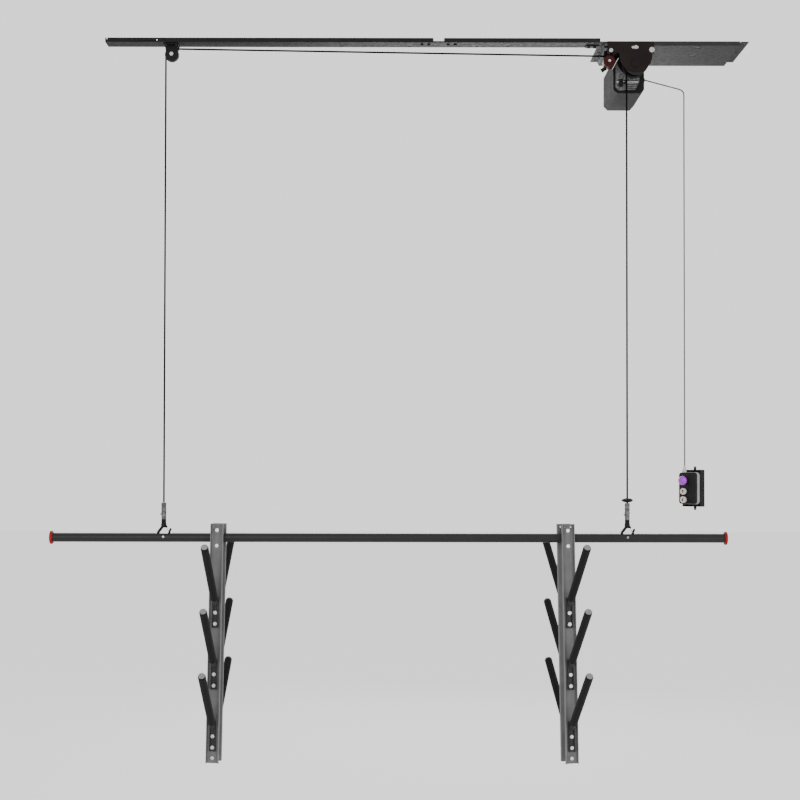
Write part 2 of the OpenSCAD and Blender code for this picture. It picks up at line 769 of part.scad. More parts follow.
module limit_lever() color([0.55, 0.55, 0.56]) place() {
    difference() {
        union() {
            translate([half_rope, 0, limit_z - 1.5]) cylinder(h = 3, r = lever_ring_r);
            box([half_rope - 3, 8, limit_z - 1.5], [half_rope + 3, lever_pivot_y + 2, limit_z + 1.5]);
            rod_x(half_rope - 7.7, lever_pivot_y, limit_z, 3, 12);
        }
        translate([half_rope, 0, limit_z - 3]) cylinder(h = 6, r = lever_eye_r);
    }
}

module winch_gland() color([0.10, 0.10, 0.10]) place() {
    difference() {
        union() {
            rod_x(gland_x + 0.02, cable_y, cable_z, 9, 6);
            rod_x(gland_x - 6, cable_y, cable_z, 5.9, 7);
            rod_x(gland_x + 5, cable_y, cable_z, 7, 12);
        }
        rod_x(gland_x - 8, cable_y, cable_z, cable_r, 40);
    }
}

// ---------- ropes ----------

module rope_arc(cx, cy, cz, r, a0, sweep) {
    translate([cx, cy, cz]) rotate([90, 0, 0]) rotate([0, 0, a0]) rotate_extrude(angle = sweep)
        translate([r, 0]) circle(r = rope_r);
}

// straight run, a hair thinner than the arcs and let into them at both ends
module rope_straight(p, q) {
    d = q - p;
    l = norm(d);
    into = 1;
    translate(p - into * d / l) rotate([0, acos(d[2] / l), atan2(d[1], d[0])])
        cylinder(h = l + 2 * into, r = rope_r - 0.06);
}

module rope_long() color([0.05, 0.05, 0.05]) place() {
    sag = atan(-long_rope_drop / (drum_x - sheave_x));
    top_a = [sheave_x + sheave_rope_r * sin(sag), 0, sheave_z + sheave_rope_r * cos(sag)];
    top_b = [drum_x + drum_rope_r * sin(sag), left_turn_y, drum_z + drum_rope_r * cos(sag)];
    rope_arc(sheave_x, 0, sheave_z, sheave_rope_r, 90 - sag, 90 + sag);
    rope_straight(top_a, top_b);
    rope_arc(drum_x, left_turn_y, drum_z, drum_rope_r, -170, 260 - sag);
}

module rope_right_wrap() color([0.05, 0.05, 0.05]) place()
    rope_arc(drum_x, right_turn_y, drum_z, drum_rope_r, -80, 260);

module rope_left_drop() color([0.05, 0.05, 0.05]) place()
    translate([-half_rope, 0, bar_z + ferrule_z1]) cylinder(h = sheave_z - bar_z - ferrule_z1, r = rope_r);

module rope_right_drop() color([0.05, 0.05, 0.05]) place()
    translate([half_rope, 0, bar_z + ferrule_z1]) cylinder(h = drum_z - bar_z - ferrule_z1, r = rope_r);

// ---------- load end ----------

module stop_disc() color([0.04, 0.04, 0.04]) place()
    translate([half_rope, 0, bar_z + disc_z]) difference() {
        rotate_extrude() polygon(concat([[0, -disc_half]],
            [for (a = [-75 : 15 : 75]) [disc_r * cos(a), disc_half * sin(a)]], [[0, disc_half]]));
        translate([0, 0, -disc_half - 1]) cylinder(h = 2 * disc_half + 2, r = rope_r + fit);
    }

module ferrule_at(x) {
    translate([x, 0, bar_z]) {
        difference() {
            union() {
                translate([0, 0, ferrule_z0]) cylinder(h = ferrule_z1 - ferrule_z0, r = ferrule_r);
                for (k = [0 : 2])
                    translate([0, 0, ferrule_z0 + 22 + k * 14]) cylinder(h = 6, r = ferrule_r + 0.8);
            }
            translate([0, 0, ferrule_z0 - 1]) cylinder(h = 8, r = head_pin_r + fit);
        }
        rod_x(-ferrule_r - 4, 0, ferrule_z0 + 18, 2.5, 6);
    }
}

module rope_ferrules() color([0.50, 0.50, 0.50]) place() {
    for (sx = [-1, 1])
        ferrule_at(sx * half_rope);
}

module head_at(x) {
    translate([x, 0, bar_z]) {
        difference() {
            union() {
                translate([0, 0, hook_top + 6]) cylinder(h = ferrule_z0 - hook_top - 6, r = head_r);
                translate([0, 0, ferrule_z0 - eps]) cylinder(h = 6, r = head_pin_r);
                for (sy = [-1, 1])
                    box([-head_r, sy > 0 ? 5.2 : -head_r, hook_top - 9],
                        [head_r, sy > 0 ? head_r : -5.2, hook_top + 6 + eps]);
            }
            rod_y(0, -12, hook_top, 2.6, 24);
        }
    }
}

module hook_heads() color([0.06, 0.06, 0.06]) place() {
    for (sx = [-1, 1])
        head_at(sx * half_rope);
}

module wire(p, q, r) {
    d = q - p;
    l = norm(d);
    translate(p) rotate([0, atan2(d[0], d[2]), 0]) cylinder(h = l, r = r);
}

module hook_at(x) {
    a_tip = 15;
    a_back = 200;
    tip = [hook_r * cos(a_tip), 0, hook_cz + hook_r * sin(a_tip)];
    shoulder = [hook_r * cos(a_back - 40), 0, hook_cz + hook_r * sin(a_back - 40)];
    neck = [0, 0, hook_top];
    end = [hook_r + 6, 0, hook_cz + 19];
    translate([x, 0, bar_z]) {
        translate([0, 0, hook_cz]) rotate([90, 0, 0]) rotate([0, 0, -a_back])
            rotate_extrude(angle = a_back + a_tip) translate([hook_r, 0]) circle(r = hook_wire_r);
        wire(shoulder, neck, hook_wire_r);
        wire(tip, end, hook_tip_r);
        rod_y(0, -hook_wire_r, hook_top, 5.7, 2 * hook_wire_r);
        rod_y(0, -head_r - 1.5, hook_top, 2.5, 2 * head_r + 3);
        for (y = [-5, 3.3])
            plate_xz(y, y + 1.7) polygon([[0, hook_top - 6], [4, hook_top + 5], [latch_x + 3, latch_z + 3],
                [latch_x + 3, latch_z - 2.5], [latch_x - 3, latch_z - 2.5]]);
        rod_y(latch_x, -4.9, latch_z, latch_pin_r, 9.8);
        for (y = [-head_r - 2, head_r + 0.02])
            rod_y(0, y, hook_top, 4, 1.98);
    }
}

module hooks() color([0.06, 0.06, 0.06]) place() {
    for (sx = [-1, 1])
        hook_at(sx * half_rope);
}

// latch blade from the neck down to the inside of the tip
module latch_at(x) {
    translate([x, 0, bar_z]) {
        difference() {
            union() {
                translate([latch_x + 1, -3, latch_z]) rotate([0, 157, 0]) cube([2, 6, 15.5]);
                rod_y(latch_x, -3, latch_z, 2.4, 6);
            }
            rod_y(latch_x, -5, latch_z, latch_pin_r + 0.05, 10);
        }
    }
}

module latch_left() color([0.50, 0.48, 0.48]) place() latch_at(-half_rope);

module latch_right() color([0.50, 0.48, 0.48]) place() latch_at(half_rope);

module bar_tube() color([0.11, 0.11, 0.12]) place() {
    difference() {
        rod_x(bar_shift - bar_half + cap_t, 0, bar_z, bar_r, bar_length - 2 * cap_t);
        rod_x(bar_shift - bar_half, 0, bar_z, bar_inner_r, bar_length + 2);
        for (sx = [-1, 1]) {
            translate([sx * half_rope, 0, bar_z + bar_r]) linear_extrude(height = bar_r, center = true)
                rounded(bar_slot_l, bar_slot_w, bar_slot_w / 2 - 0.1);
            rod_y(sx * half_rope, -bar_r - 1, bar_z + pin_z, pin_r, bar_d + 2);
        }
    }
}

module bar_caps() color([0.55, 0.07, 0.05]) place() {
    for (s = [-1, 1])
        translate([bar_shift + s * bar_half, 0, bar_z]) rotate([0, -90 * s, 0]) {
            rotate_extrude() {
                square([cap_r - cap_round, cap_t]);
                at2(0, cap_round) square([cap_r, cap_t - 2 * cap_round]);
                for (z = [cap_round, cap_t - cap_round])
                    at2(cap_r - cap_round, z) circle(r = cap_round);
            }
            translate([0, 0, cap_t - eps]) cylinder(h = 26, r = bar_inner_r - 0.1);
        }
}

module bar_pins() color([0.60, 0.60, 0.60]) place() {
    for (sx = [-1, 1])
        rod_y(sx * half_rope, -bar_r + 0.8, bar_z + pin_z, pin_r, bar_d - 1.6);
}

// ---------- peg trees ----------

module on_tree(x, yaw, lean) {
    place() translate([x, 0, bar_z]) rotate([0, lean, 0]) rotate([0, 0, yaw]) children();
}

module left_tree() {
    on_tree(-tree_left_x, tree_left_yaw, tree_lean) children();
}

module right_tree() {
    on_tree(tree_right_x, tree_right_yaw, -tree_lean) children();
}

function peg_bolt(k) = first_bolt - k * peg_pitch;

module channels() {
    for (s = [-1, 1])
        mirror([0, s < 0 ? 1 : 0, 0]) difference() {
            union() {
                box([-channel_width / 2, web_gap, tree_bottom],
                    [channel_width / 2, web_gap + channel_t, tree_top]);
                for (sx = [-1, 1])
                    box([sx > 0 ? channel_width / 2 - channel_t : -channel_width / 2, web_gap, tree_bottom],
                        [sx > 0 ? channel_width / 2 : channel_t - channel_width / 2,
                            web_gap + channel_flange, tree_top]);
            }
            for (z = [clamp_r, -clamp_r, foot_bolt])
                rod_y(0, web_gap - 1, z, bolt_r, channel_t + 2);
            for (k = [0 : 2])
                for (d = [0, -bolt_gap])
                    rod_y(0, web_gap - 1, peg_bolt(k) + d, bolt_r, channel_t + 2);
            for (sx = [-1, 1])
                rod_y(sx * 12, web_gap - 1, tree_top - 11, 2.4, channel_t + 2);
        }
}

// peg frame: origin at the channel face, axis pointing out and up
module on_pegs() {
    for (s = [-1, 1])
        mirror([0, s < 0 ? 1 : 0, 0])
            for (k = [0 : 2])
                translate([0, web_gap + channel_t + peg_tube_r - 1, peg_bolt(k) + peg_rise])
                    rotate([-peg_angle, 0, 0]) children();
}

module pegs() {
    y0 = web_gap + channel_t + 0.02;
    for (s = [-1, 1])
        mirror([0, s < 0 ? 1 : 0, 0])
            for (k = [0 : 2]) {
                z0 = peg_bolt(k) - bolt_gap - bracket_foot;
                z1 = peg_bolt(k) + peg_rise + 22;
                difference() {
                    union() {
                        box([-bracket_w / 2, y0, z0], [bracket_w / 2, y0 + 3, z1]);
                        for (sx = [-1, 1])
                            box([sx > 0 ? bracket_w / 2 - 2.5 : -bracket_w / 2, y0, z0],
                                [sx > 0 ? bracket_w / 2 : -bracket_w / 2 + 2.5, y0 + bracket_d, z1]);
                    }
                    for (d = [0, -bolt_gap])
                        rod_y(0, y0 - 1, peg_bolt(k) + d, bolt_r, 6);
                }
                difference() {
                    translate([0, web_gap + channel_t + peg_tube_r - 1, peg_bolt(k) + peg_rise])
                        rotate([-peg_angle, 0, 0]) difference() {
                            cylinder(h = peg_length - 2, r = peg_tube_r);
                            translate([0, 0, 24]) cylinder(h = peg_length, r = peg_tube_r - peg_wall);
                        }
                    box([-bracket_w, -10, z0], [bracket_w, y0 + bracket_d + 0.02, z1 + 40]);
                }
            }
}

module sleeves() {
    on_pegs() difference() {
        translate([0, 0, foam_start]) cylinder(h = peg_length - foam_start - 3, r = foam_d / 2);
        translate([0, 0, foam_start - 1]) cylinder(h = peg_length, r = peg_tube_r + 0.05);
    }
}

module plugs() {
    on_pegs() {
        translate([0, 0, peg_length - 1.95]) cylinder(h = 4, r = foam_d / 2 - 2.5);
        translate([0, 0, peg_length - 16]) cylinder(h = 15, r = peg_tube_r - peg_wall - 0.05);
    }
}

module tree_bolts() {
    face = web_gap + channel_t;
    for (z = [clamp_r, -clamp_r, foot_bolt]) {
        bolt_y(0, -face - 0.02, z, bolt_r, 4, 2 * face + 9);
        nut_y(0, face + 0.02, z, bolt_r, 6);
    }
    for (k = [0 : 2])
        for (d = [0, -bolt_gap]) {
            bolt_y(0, -face - 3.04, peg_bolt(k) + d, bolt_r, 4, 2 * face + 14);
            nut_y(0, face + 3.04, peg_bolt(k) + d, bolt_r, 5);
        }
}

module spacer(z, r) {
    difference() {
        rod_y(0, -web_gap + 0.02, z, r, 2 * web_gap - 0.04);
        rod_y(0, -web_gap - 1, z, bolt_r, 2 * web_gap + 2);
    }
}

module spacers() {
    for (z = [clamp_r, -clamp_r])
        spacer(z, spacer_r);
    spacer(foot_bolt, 8);
    for (k = [0 : 2])
        for (d = [0, -bolt_gap])
            spacer(peg_bolt(k) + d, 8);
}

module tree_left_channels() color([0.46, 0.46, 0.46]) left_tree() channels();
module tree_left_pegs() color([0.20, 0.20, 0.20]) left_tree() pegs();
module tree_left_sleeves() color([0.12, 0.12, 0.12]) left_tree() sleeves();
module tree_left_plugs() color([0.58, 0.58, 0.58]) left_tree() plugs();
module tree_left_bolts() color([0.80, 0.80, 0.80]) left_tree() tree_bolts();
module tree_left_spacers() color([0.60, 0.60, 0.60]) left_tree() spacers();
module tree_right_channels() color([0.46, 0.46, 0.46]) right_tree() channels();
module tree_right_pegs() color([0.20, 0.20, 0.20]) right_tree() pegs();
module tree_right_sleeves() color([0.12, 0.12, 0.12]) right_tree() sleeves();
module tree_right_plugs() color([0.58, 0.58, 0.58]) right_tree() plugs();
module tree_right_bolts() color([0.80, 0.80, 0.80]) right_tree() tree_bolts();
module tree_right_spacers() color([0.60, 0.60, 0.60]) right_tree() spacers();

// ---------- pendant ----------

module on_pendant() {
    place() translate([cable_x, cable_y, 0]) rotate([0, 0, pendant_yaw])
        translate([body_dx, 0, body_z]) children();
}

module pendant_back() color([0.16, 0.16, 0.16]) on_pendant() {
    difference() {
        union() {
            plate_xz(rim_d / 2, rim_d / 2 + back_d) rounded(back_w, back_h, 3);
            plate_xz(rim_d / 2 + back_d - 4, rim_d / 2 + back_d) rounded(9, back_h + 26, 4.4);
        }
        plate_xz(rim_d / 2 - 1, rim_d / 2 + back_d - wall) rounded(back_w - 2 * wall, back_h - 2 * wall, 2);
        for (sz = [-1, 1])
            rod_y(0, rim_d / 2 + back_d - 6, sz * (back_h / 2 + 8), 2.2, 8);
    }
}

module pendant_rim() color([0.62, 0.62, 0.62]) on_pendant() {
    difference() {
        plate_xz(-rim_d / 2, rim_d / 2 - 0.02) rounded(cover_w + 2, cover_h + 3, 12);
        plate_xz(-rim_d / 2 - 1, rim_d / 2 + 1) rounded(cover_w - 8, cover_h - 8, 8);
        translate([-body_dx, 0, cover_h / 2 - 6]) cylinder(h = 12, r = 5.5);
    }
}

module pendant_cover() color([0.10, 0.10, 0.10]) on_pendant() {
    difference() {
        plate_xz(-rim_d / 2 - cover_d, -rim_d / 2 - 0.02) rounded(cover_w, cover_h, 10);
        plate_xz(-rim_d / 2 - cover_d + wall, -rim_d / 2 + 1)
            rounded(cover_w - 2 * wall, cover_h - 2 * wall, 8);
        rod_y(buttons_dx, -rim_d / 2 - cover_d - 1, stop_dz, 8.3, wall + 2);
        for (dz = [up_dz, down_dz])
            rod_y(buttons_dx, -rim_d / 2 - cover_d - 1, dz, 9.3, wall + 2);
    }
    for (dz = [up_dz, down_dz])
        difference() {
            rod_y(buttons_dx, -rim_d / 2 - cover_d - 5, dz, button_r + 2, 5 + eps);
            rod_y(buttons_dx, -rim_d / 2 - cover_d - 6, dz, button_r + 0.3, 5);
            rod_y(buttons_dx, -rim_d / 2 - cover_d - 6, dz, 9.3, 8);
        }
    difference() {
        rod_y(buttons_dx, -rim_d / 2 - cover_d - 4, stop_dz, 13, 4 + eps);
        rod_y(buttons_dx, -rim_d / 2 - cover_d - 5, stop_dz, 8.3, 7);
    }
}

module pendant_contacts() color([0.85, 0.83, 0.78]) on_pendant() {
    for (dz = [stop_dz, up_dz, down_dz])
        box([buttons_dx - 12, rim_d / 2 + 3.2, dz - 11],
            [buttons_dx + 12, rim_d / 2 + back_d - wall - 0.02, dz + 11]);
    for (dz = [stop_dz, up_dz, down_dz])
        rod_y(buttons_dx, rim_d / 2 + 1, dz, 2, 3);
}

module button_body(dz, r, cap_h) {
    rod_y(buttons_dx, -rim_d / 2 - cover_d - 4, dz, 8, 15);
    rod_y(buttons_dx, -rim_d / 2 - cover_d - 4 - cap_h, dz, r, cap_h + eps);
}

module stop_button() color([0.55, 0.20, 0.75]) on_pendant() {
    front = -rim_d / 2 - cover_d;
    rod_y(buttons_dx, front - 12, stop_dz, 8, 23);
    rod_y(buttons_dx, front - 16, stop_dz, stop_r, 7);
    translate([buttons_dx, front - 16, stop_dz]) rotate([90, 0, 0]) rotate_extrude()
        polygon([[0, -1], [stop_r, -1], [stop_r, 0], [stop_r - 1.2, 2.4], [stop_r - 4, 4.6],
            [stop_r - 8, 6.2], [stop_r - 12, 7], [0, 7.3]]);
}

module up_button() color([0.92, 0.90, 0.88]) on_pendant() button_body(up_dz, button_r, 9);

module down_button() color([0.92, 0.90, 0.88]) on_pendant() button_body(down_dz, button_r, 9);

module pendant_gland() color([0.90, 0.90, 0.90]) place()
    translate([cable_x, cable_y, body_z + cover_h / 2]) difference() {
        union() {
            translate([0, 0, 1.52]) cylinder(h = 8, r = 7.7, $fn = 6);
            translate([0, 0, -5]) cylinder(h = 8, r = 5.4);
            translate([0, 0, 9]) cylinder(h = gland_h - 9, r1 = 6.5, r2 = 5);
        }
        translate([0, 0, -6]) cylinder(h = 34, r = cable_r + fit);
    }

// ---------- control cable ----------

cable_top = -pendant_drop - 18;
bend_steps = 6;
slope_a = atan(cable_fall / cable_reach);
corner = [cable_x, cable_z - cable_fall];
turn_a = 90 - slope_a;
tan_len = cable_bend * tan(turn_a / 2);
arc_c = [cable_x - cable_bend, corner[1] - tan_len];
// route in the x-z plane: along the slope, round the bend, straight down
cable_route = concat(
    [[gland_x + 10, cable_z], [gland_x + 20, cable_z - 0.5]],
    [for (k = [1 : 6]) [gland_x + 20 + k * cable_reach / 8, cable_z - 0.5 - k * cable_fall / 8.2]],
    [for (k = [0 : bend_steps]) [arc_c[0] + cable_bend * cos(turn_a - k * turn_a / bend_steps),
        arc_c[1] + cable_bend * sin(turn_a - k * turn_a / bend_steps)]],
    [for (k = [1 : 20]) [cable_x, arc_c[1] + (cable_top - arc_c[1]) * k / 20]]);

module tube_along(route, r, sides) {
    n = len(route);
    dirs = [for (i = [0 : n - 1])
        let (a = route[max(i - 1, 0)], b = route[min(i + 1, n - 1)]) (b - a) / norm(b - a)];
    pts = [for (i = [0 : n - 1]) for (j = [0 : sides - 1])
        let (t = 360 * j / sides)
            [route[i][0] - dirs[i][1] * r * cos(t), cable_y + r * sin(t),
                route[i][1] + dirs[i][0] * r * cos(t)]];
    side_faces = [for (i = [0 : n - 2]) for (j = [0 : sides - 1])
        [i * sides + j, i * sides + (j + 1) % sides, (i + 1) * sides + (j + 1) % sides, (i + 1) * sides + j]];
    first = [[for (j = [sides - 1 : -1 : 0]) j]];
    last = [[for (j = [0 : sides - 1]) (n - 1) * sides + j]];
    polyhedron(points = pts, faces = concat(side_faces, first, last));
}

module control_cable() color([0.42, 0.42, 0.42]) place() tube_along(cable_route, cable_r, 10);

rail_left();
rail_right();
rail_joiners();
rail_bolts();
winch_plate();
pulley_bracket();
pulley_sheave();
axle_bolts();
winch_front_plate();
winch_rear_plate();
winch_bolts();
drum();
drum_rope();
output_shaft();
bearings();
guide_roller();
guide_bracket();
motor_housing();
motor_cover();
stator();
rotor();
gear_idler();
capacitor();
limit_switch();
limit_lever();
winch_gland();
rope_long();
rope_right_wrap();
rope_left_drop();
rope_right_drop();
stop_disc();
rope_ferrules();
hook_heads();
hooks();
latch_left();
latch_right();
bar_tube();
bar_caps();
bar_pins();
tree_left_channels();
tree_left_pegs();
tree_left_sleeves();
tree_left_plugs();
tree_left_bolts();
tree_left_spacers();
tree_right_channels();
tree_right_pegs();
tree_right_sleeves();
tree_right_plugs();
tree_right_bolts();
tree_right_spacers();
pendant_back();
pendant_rim();
pendant_cover();
pendant_contacts();
stop_button();
up_button();
down_button();
pendant_gland();
control_cable();
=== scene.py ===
"""Ceiling mounted pulley rack: looks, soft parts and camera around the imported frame. Metres, row frame."""

import math

import bmesh
import bpy
from mathutils import Matrix, Vector, noise


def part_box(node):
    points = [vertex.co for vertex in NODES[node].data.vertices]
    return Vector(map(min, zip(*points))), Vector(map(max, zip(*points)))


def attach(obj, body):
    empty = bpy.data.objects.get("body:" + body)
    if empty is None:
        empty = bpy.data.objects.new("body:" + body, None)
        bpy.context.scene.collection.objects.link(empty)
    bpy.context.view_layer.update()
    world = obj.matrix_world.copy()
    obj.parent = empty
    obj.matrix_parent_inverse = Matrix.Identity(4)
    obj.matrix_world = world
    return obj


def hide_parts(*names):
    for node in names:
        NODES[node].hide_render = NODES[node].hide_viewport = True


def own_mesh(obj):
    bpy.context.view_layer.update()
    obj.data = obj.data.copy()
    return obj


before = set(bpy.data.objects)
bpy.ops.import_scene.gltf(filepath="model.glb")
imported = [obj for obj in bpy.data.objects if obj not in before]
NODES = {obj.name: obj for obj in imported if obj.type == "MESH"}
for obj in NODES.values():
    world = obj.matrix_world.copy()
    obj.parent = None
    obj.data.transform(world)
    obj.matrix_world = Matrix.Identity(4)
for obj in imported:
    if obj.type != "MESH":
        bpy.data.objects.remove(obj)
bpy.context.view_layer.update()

# ---------- named sizes, the same as the part's, in metres ----------

ORIGIN = Vector((1.0065, 0.120, 0.0))
HALF_ROPE = 0.835
BAR_Z = -1.798
ROPE_R = 0.00325
DRUM_X = 0.867
DRUM_Z = -0.080
DRUM_ROPE_R = 0.032
SHEAVE_X = -0.813
SHEAVE_Z = -0.050
SHEAVE_ROPE_R = 0.022
TURN_PITCH = 0.007
TREE_BODIES = {"left": (-0.638, -4.0, 1.0), "right": (0.613, 11.0, -1.0)}
WEB_FACE = 0.0245
PEG_TUBE_R = 0.0095
PEG_LENGTH = 0.300
FIRST_PEG = -0.267
PEG_PITCH = 0.2205
PEG_RISE = 0.032
FOAM_R = 0.014
FOAM_START = 0.026
CABLE_R = 0.0025
GLAND_X = 0.907
CABLE_X = 1.070
CABLE_Y = 0.140
CABLE_Z = -0.101
CABLE_REACH = 0.143
CABLE_FALL = 0.039
CABLE_BEND = 0.021
PENDANT_DROP = 1.536
PENDANT_YAW = -50.0
PENDANT_DX = 0.025
COVER_FRONT = -0.017
COVER_H = 0.115
COVER_W = 0.076
BUTTONS_DX = -0.011
GLAND_H = 0.025
BODY_Z = -PENDANT_DROP - GLAND_H - COVER_H / 2
BUTTON_FACE = -0.0299


def row(x, y, z):
    """A point of the part's working axes in the row frame."""
    return Vector((x, y, z)) - ORIGIN


# ---------- camera ----------

CAMERA_AT = row(0.0157, -5.2091, -1.5787)
CAMERA_PITCH = 1.117
CAMERA_ROLL = 0.087
CAMERA_SHIFT = 0.061

camera_data = bpy.data.cameras.new("camera")
camera_data.lens = 65.0
camera_data.sensor_width = 36.0
camera_data.shift_y = CAMERA_SHIFT
camera_data.clip_end = 60.0
camera = bpy.data.objects.new("camera", camera_data)
camera.location = CAMERA_AT
camera.rotation_euler = (Matrix.Rotation(math.radians(90.0 + CAMERA_PITCH), 3, "X")
                         @ Matrix.Rotation(math.radians(CAMERA_ROLL), 3, "Z")).to_euler()
bpy.context.scene.collection.objects.link(camera)
bpy.context.scene.camera = camera

# ---------- materials ----------


def shader_nodes(name):
    """A new material with its tree, links and main shader."""
    mat = bpy.data.materials.new(name)
    mat.use_nodes = True
    tree = mat.node_tree
    shader = tree.nodes["Principled BSDF"]
    return mat, tree, shader


def coords(tree, stretch=(1.0, 1.0, 1.0)):
    """Object coordinates, stretched along each axis."""
    where = tree.nodes.new("ShaderNodeTexCoord")
    place = tree.nodes.new("ShaderNodeMapping")
    place.inputs["Scale"].default_value = stretch
    tree.links.new(where.outputs["Object"], place.inputs["Vector"])
    return place.outputs["Vector"]


def noise_field(tree, vector, scale, detail=4.0, rough=0.55):
    field = tree.nodes.new("ShaderNodeTexNoise")
    field.inputs["Scale"].default_value = scale
    field.inputs["Detail"].default_value = detail
    field.inputs["Roughness"].default_value = rough
    tree.links.new(vector, field.inputs["Vector"])
    return field.outputs["Fac"]


def cell_field(tree, vector, scale):
    field = tree.nodes.new("ShaderNodeTexVoronoi")
    field.inputs["Scale"].default_value = scale
    tree.links.new(vector, field.inputs["Vector"])
    return field.outputs["Distance"]


def remap(tree, value, low, high, out_low, out_high):
    span = tree.nodes.new("ShaderNodeMapRange")
    span.inputs["From Min"].default_value = low
    span.inputs["From Max"].default_value = high
    span.inputs["To Min"].default_value = out_low
    span.inputs["To Max"].default_value = out_high
    tree.links.new(value, span.inputs["Value"])
    return span.outputs["Result"]


def two_shades(tree, value, dark, light):
    ramp = tree.nodes.new("ShaderNodeValToRGB")
    ramp.color_ramp.elements[0].position = 0.32
    ramp.color_ramp.elements[0].color = (*dark, 1.0)
    ramp.color_ramp.elements[1].position = 0.68
    ramp.color_ramp.elements[1].color = (*light, 1.0)
    tree.links.new(value, ramp.inputs["Fac"])
    return ramp.outputs["Color"]


def bump(tree, shader, height, strength, distance, before=None):
    relief = tree.nodes.new("ShaderNodeBump")
    relief.inputs["Strength"].default_value = strength
    relief.inputs["Distance"].default_value = distance
    tree.links.new(height, relief.inputs["Height"])
    if before is not None:
        tree.links.new(before, relief.inputs["Normal"])
    tree.links.new(relief.outputs["Normal"], shader.inputs["Normal"])
    return relief.outputs["Normal"]


def painted_edge_highlight(tree, colour, edge_highlight_colour, amount):
    """Lightens the colour along sharp edges: a painted highlight where the edges catch the light."""
    geometry = tree.nodes.new("ShaderNodeNewGeometry")
    # painted highlight: the colour is lightened where Pointiness marks a convex edge
    mask = remap(tree, geometry.outputs["Pointiness"], 0.54, 0.62, 0.0, amount)
    mix = tree.nodes.new("ShaderNodeMix")
    mix.data_type = "RGBA"
    tree.links.new(mask, mix.inputs["Factor"])
    tree.links.new(colour, mix.inputs["A"])
    mix.inputs["B"].default_value = (*edge_highlight_colour, 1.0)
    return mix.outputs["Result"]


def powder_coat(name, dark, light, rough=0.42, edge_highlight_amount=0.35, gloss=0.20):
    """Powder-coated sheet: faint cloudy colour, orange-peel relief and a painted highlight along sharp edges."""
    mat, tree, shader = shader_nodes(name)
    vector = coords(tree)
    cloudy = noise_field(tree, vector, 14.0, 3.0)
    peel = noise_field(tree, vector, 900.0, 2.0)
    dust = noise_field(tree, vector, 60.0, 6.0)
    colour = two_shades(tree, cloudy, dark, light)
    # painted highlight along sharp edges, a lightened copy of the coat colour
    edge_highlight_colour = tuple(min(1.0, c * 2.6 + 0.05) for c in light)
    tree.links.new(painted_edge_highlight(tree, colour, edge_highlight_colour, edge_highlight_amount), shader.inputs["Base Color"])
    tree.links.new(remap(tree, dust, 0.3, 0.7, rough - 0.07, rough + 0.10), shader.inputs["Roughness"])
    bump(tree, shader, peel, 0.12, 0.0002)
    shader.inputs["Specular IOR Level"].default_value = gloss
    return mat


def zinc_plate(name, dark, light, rough=0.28):
    """Bright zinc: metallic, with small crystal patches and fine scratches."""
    mat, tree, shader = shader_nodes(name)
    vector = coords(tree)
    patch = cell_field(tree, vector, 240.0)
    scratch = noise_field(tree, coords(tree, (1.0, 9.0, 1.0)), 420.0, 3.0)
    tree.links.new(two_shades(tree, patch, dark, light), shader.inputs["Base Color"])
    tree.links.new(remap(tree, patch, 0.0, 0.8, rough - 0.06, rough + 0.14), shader.inputs["Roughness"])
    shader.inputs["Metallic"].default_value = 1.0
    bump(tree, shader, scratch, 0.10, 0.0002)
    return mat


def turned_steel(name, dark, light, rough=0.32):
    """Turned or ground steel with fine lines across the depth axis."""
    mat, tree, shader = shader_nodes(name)
    lines = noise_field(tree, coords(tree, (1.0, 24.0, 1.0)), 120.0, 5.0)
    stain = noise_field(tree, coords(tree), 45.0, 4.0)
    tree.links.new(two_shades(tree, stain, dark, light), shader.inputs["Base Color"])
    tree.links.new(remap(tree, lines, 0.3, 0.7, rough - 0.08, rough + 0.12), shader.inputs["Roughness"])
    shader.inputs["Metallic"].default_value = 1.0
    bump(tree, shader, lines, 0.12, 0.0002)
    return mat


def moulded(name, dark, light, rough=0.45, grain=1400.0, relief=0.10, coat=0.0, gloss=0.22):
    """Moulded plastic with a fine spark-eroded grain."""
    mat, tree, shader = shader_nodes(name)
    vector = coords(tree)
    tone = noise_field(tree, vector, 30.0, 3.0)
    fine = noise_field(tree, vector, grain, 2.0)
    tree.links.new(two_shades(tree, tone, dark, light), shader.inputs["Base Color"])
    tree.links.new(remap(tree, fine, 0.3, 0.7, rough - 0.05, rough + 0.07), shader.inputs["Roughness"])
    shader.inputs["Specular IOR Level"].default_value = gloss
    shader.inputs["Coat Weight"].default_value = coat
    shader.inputs["Coat Roughness"].default_value = 0.08
    bump(tree, shader, fine, relief, 0.0001)
    return mat


def cast_paint(name, dark, light, rough=0.55):
    """Painted casting or forging: coarse skin relief under thin paint."""
    mat, tree, shader = shader_nodes(name)
    vector = coords(tree)
    tone = noise_field(tree, vector, 40.0, 4.0)
    skin = noise_field(tree, vector, 500.0, 5.0)
    colour = two_shades(tree, tone, dark, light)
    # painted highlight along sharp edges, a lightened copy of the paint colour
    edge_highlight_colour = tuple(min(1.0, c * 3.0 + 0.06) for c in light)
    tree.links.new(painted_edge_highlight(tree, colour, edge_highlight_colour, 0.5), shader.inputs["Base Color"])
    tree.links.new(remap(tree, skin, 0.3, 0.7, rough - 0.12, rough + 0.1), shader.inputs["Roughness"])
    shader.inputs["Specular IOR Level"].default_value = 0.20
    bump(tree, shader, skin, 0.35, 0.0004)
    return mat


def swaged(name, dark, light, patch_scale=75.0):
    """Pressed or cast metal left unpainted: light skin with dark dies' marks and pits."""
    mat, tree, shader = shader_nodes(name)
    vector = coords(tree)
    patches = noise_field(tree, vector, patch_scale, 6.0, 0.7)
    pits = cell_field(tree, vector, 420.0)
    tree.links.new(two_shades(tree, patches, dark, light), shader.inputs["Base Color"])
    tree.links.new(remap(tree, patches, 0.3, 0.7, 0.62, 0.40), shader.inputs["Roughness"])
    shader.inputs["Metallic"].default_value = 0.55
    bump(tree, shader, pits, 0.30, 0.0004)
    return mat


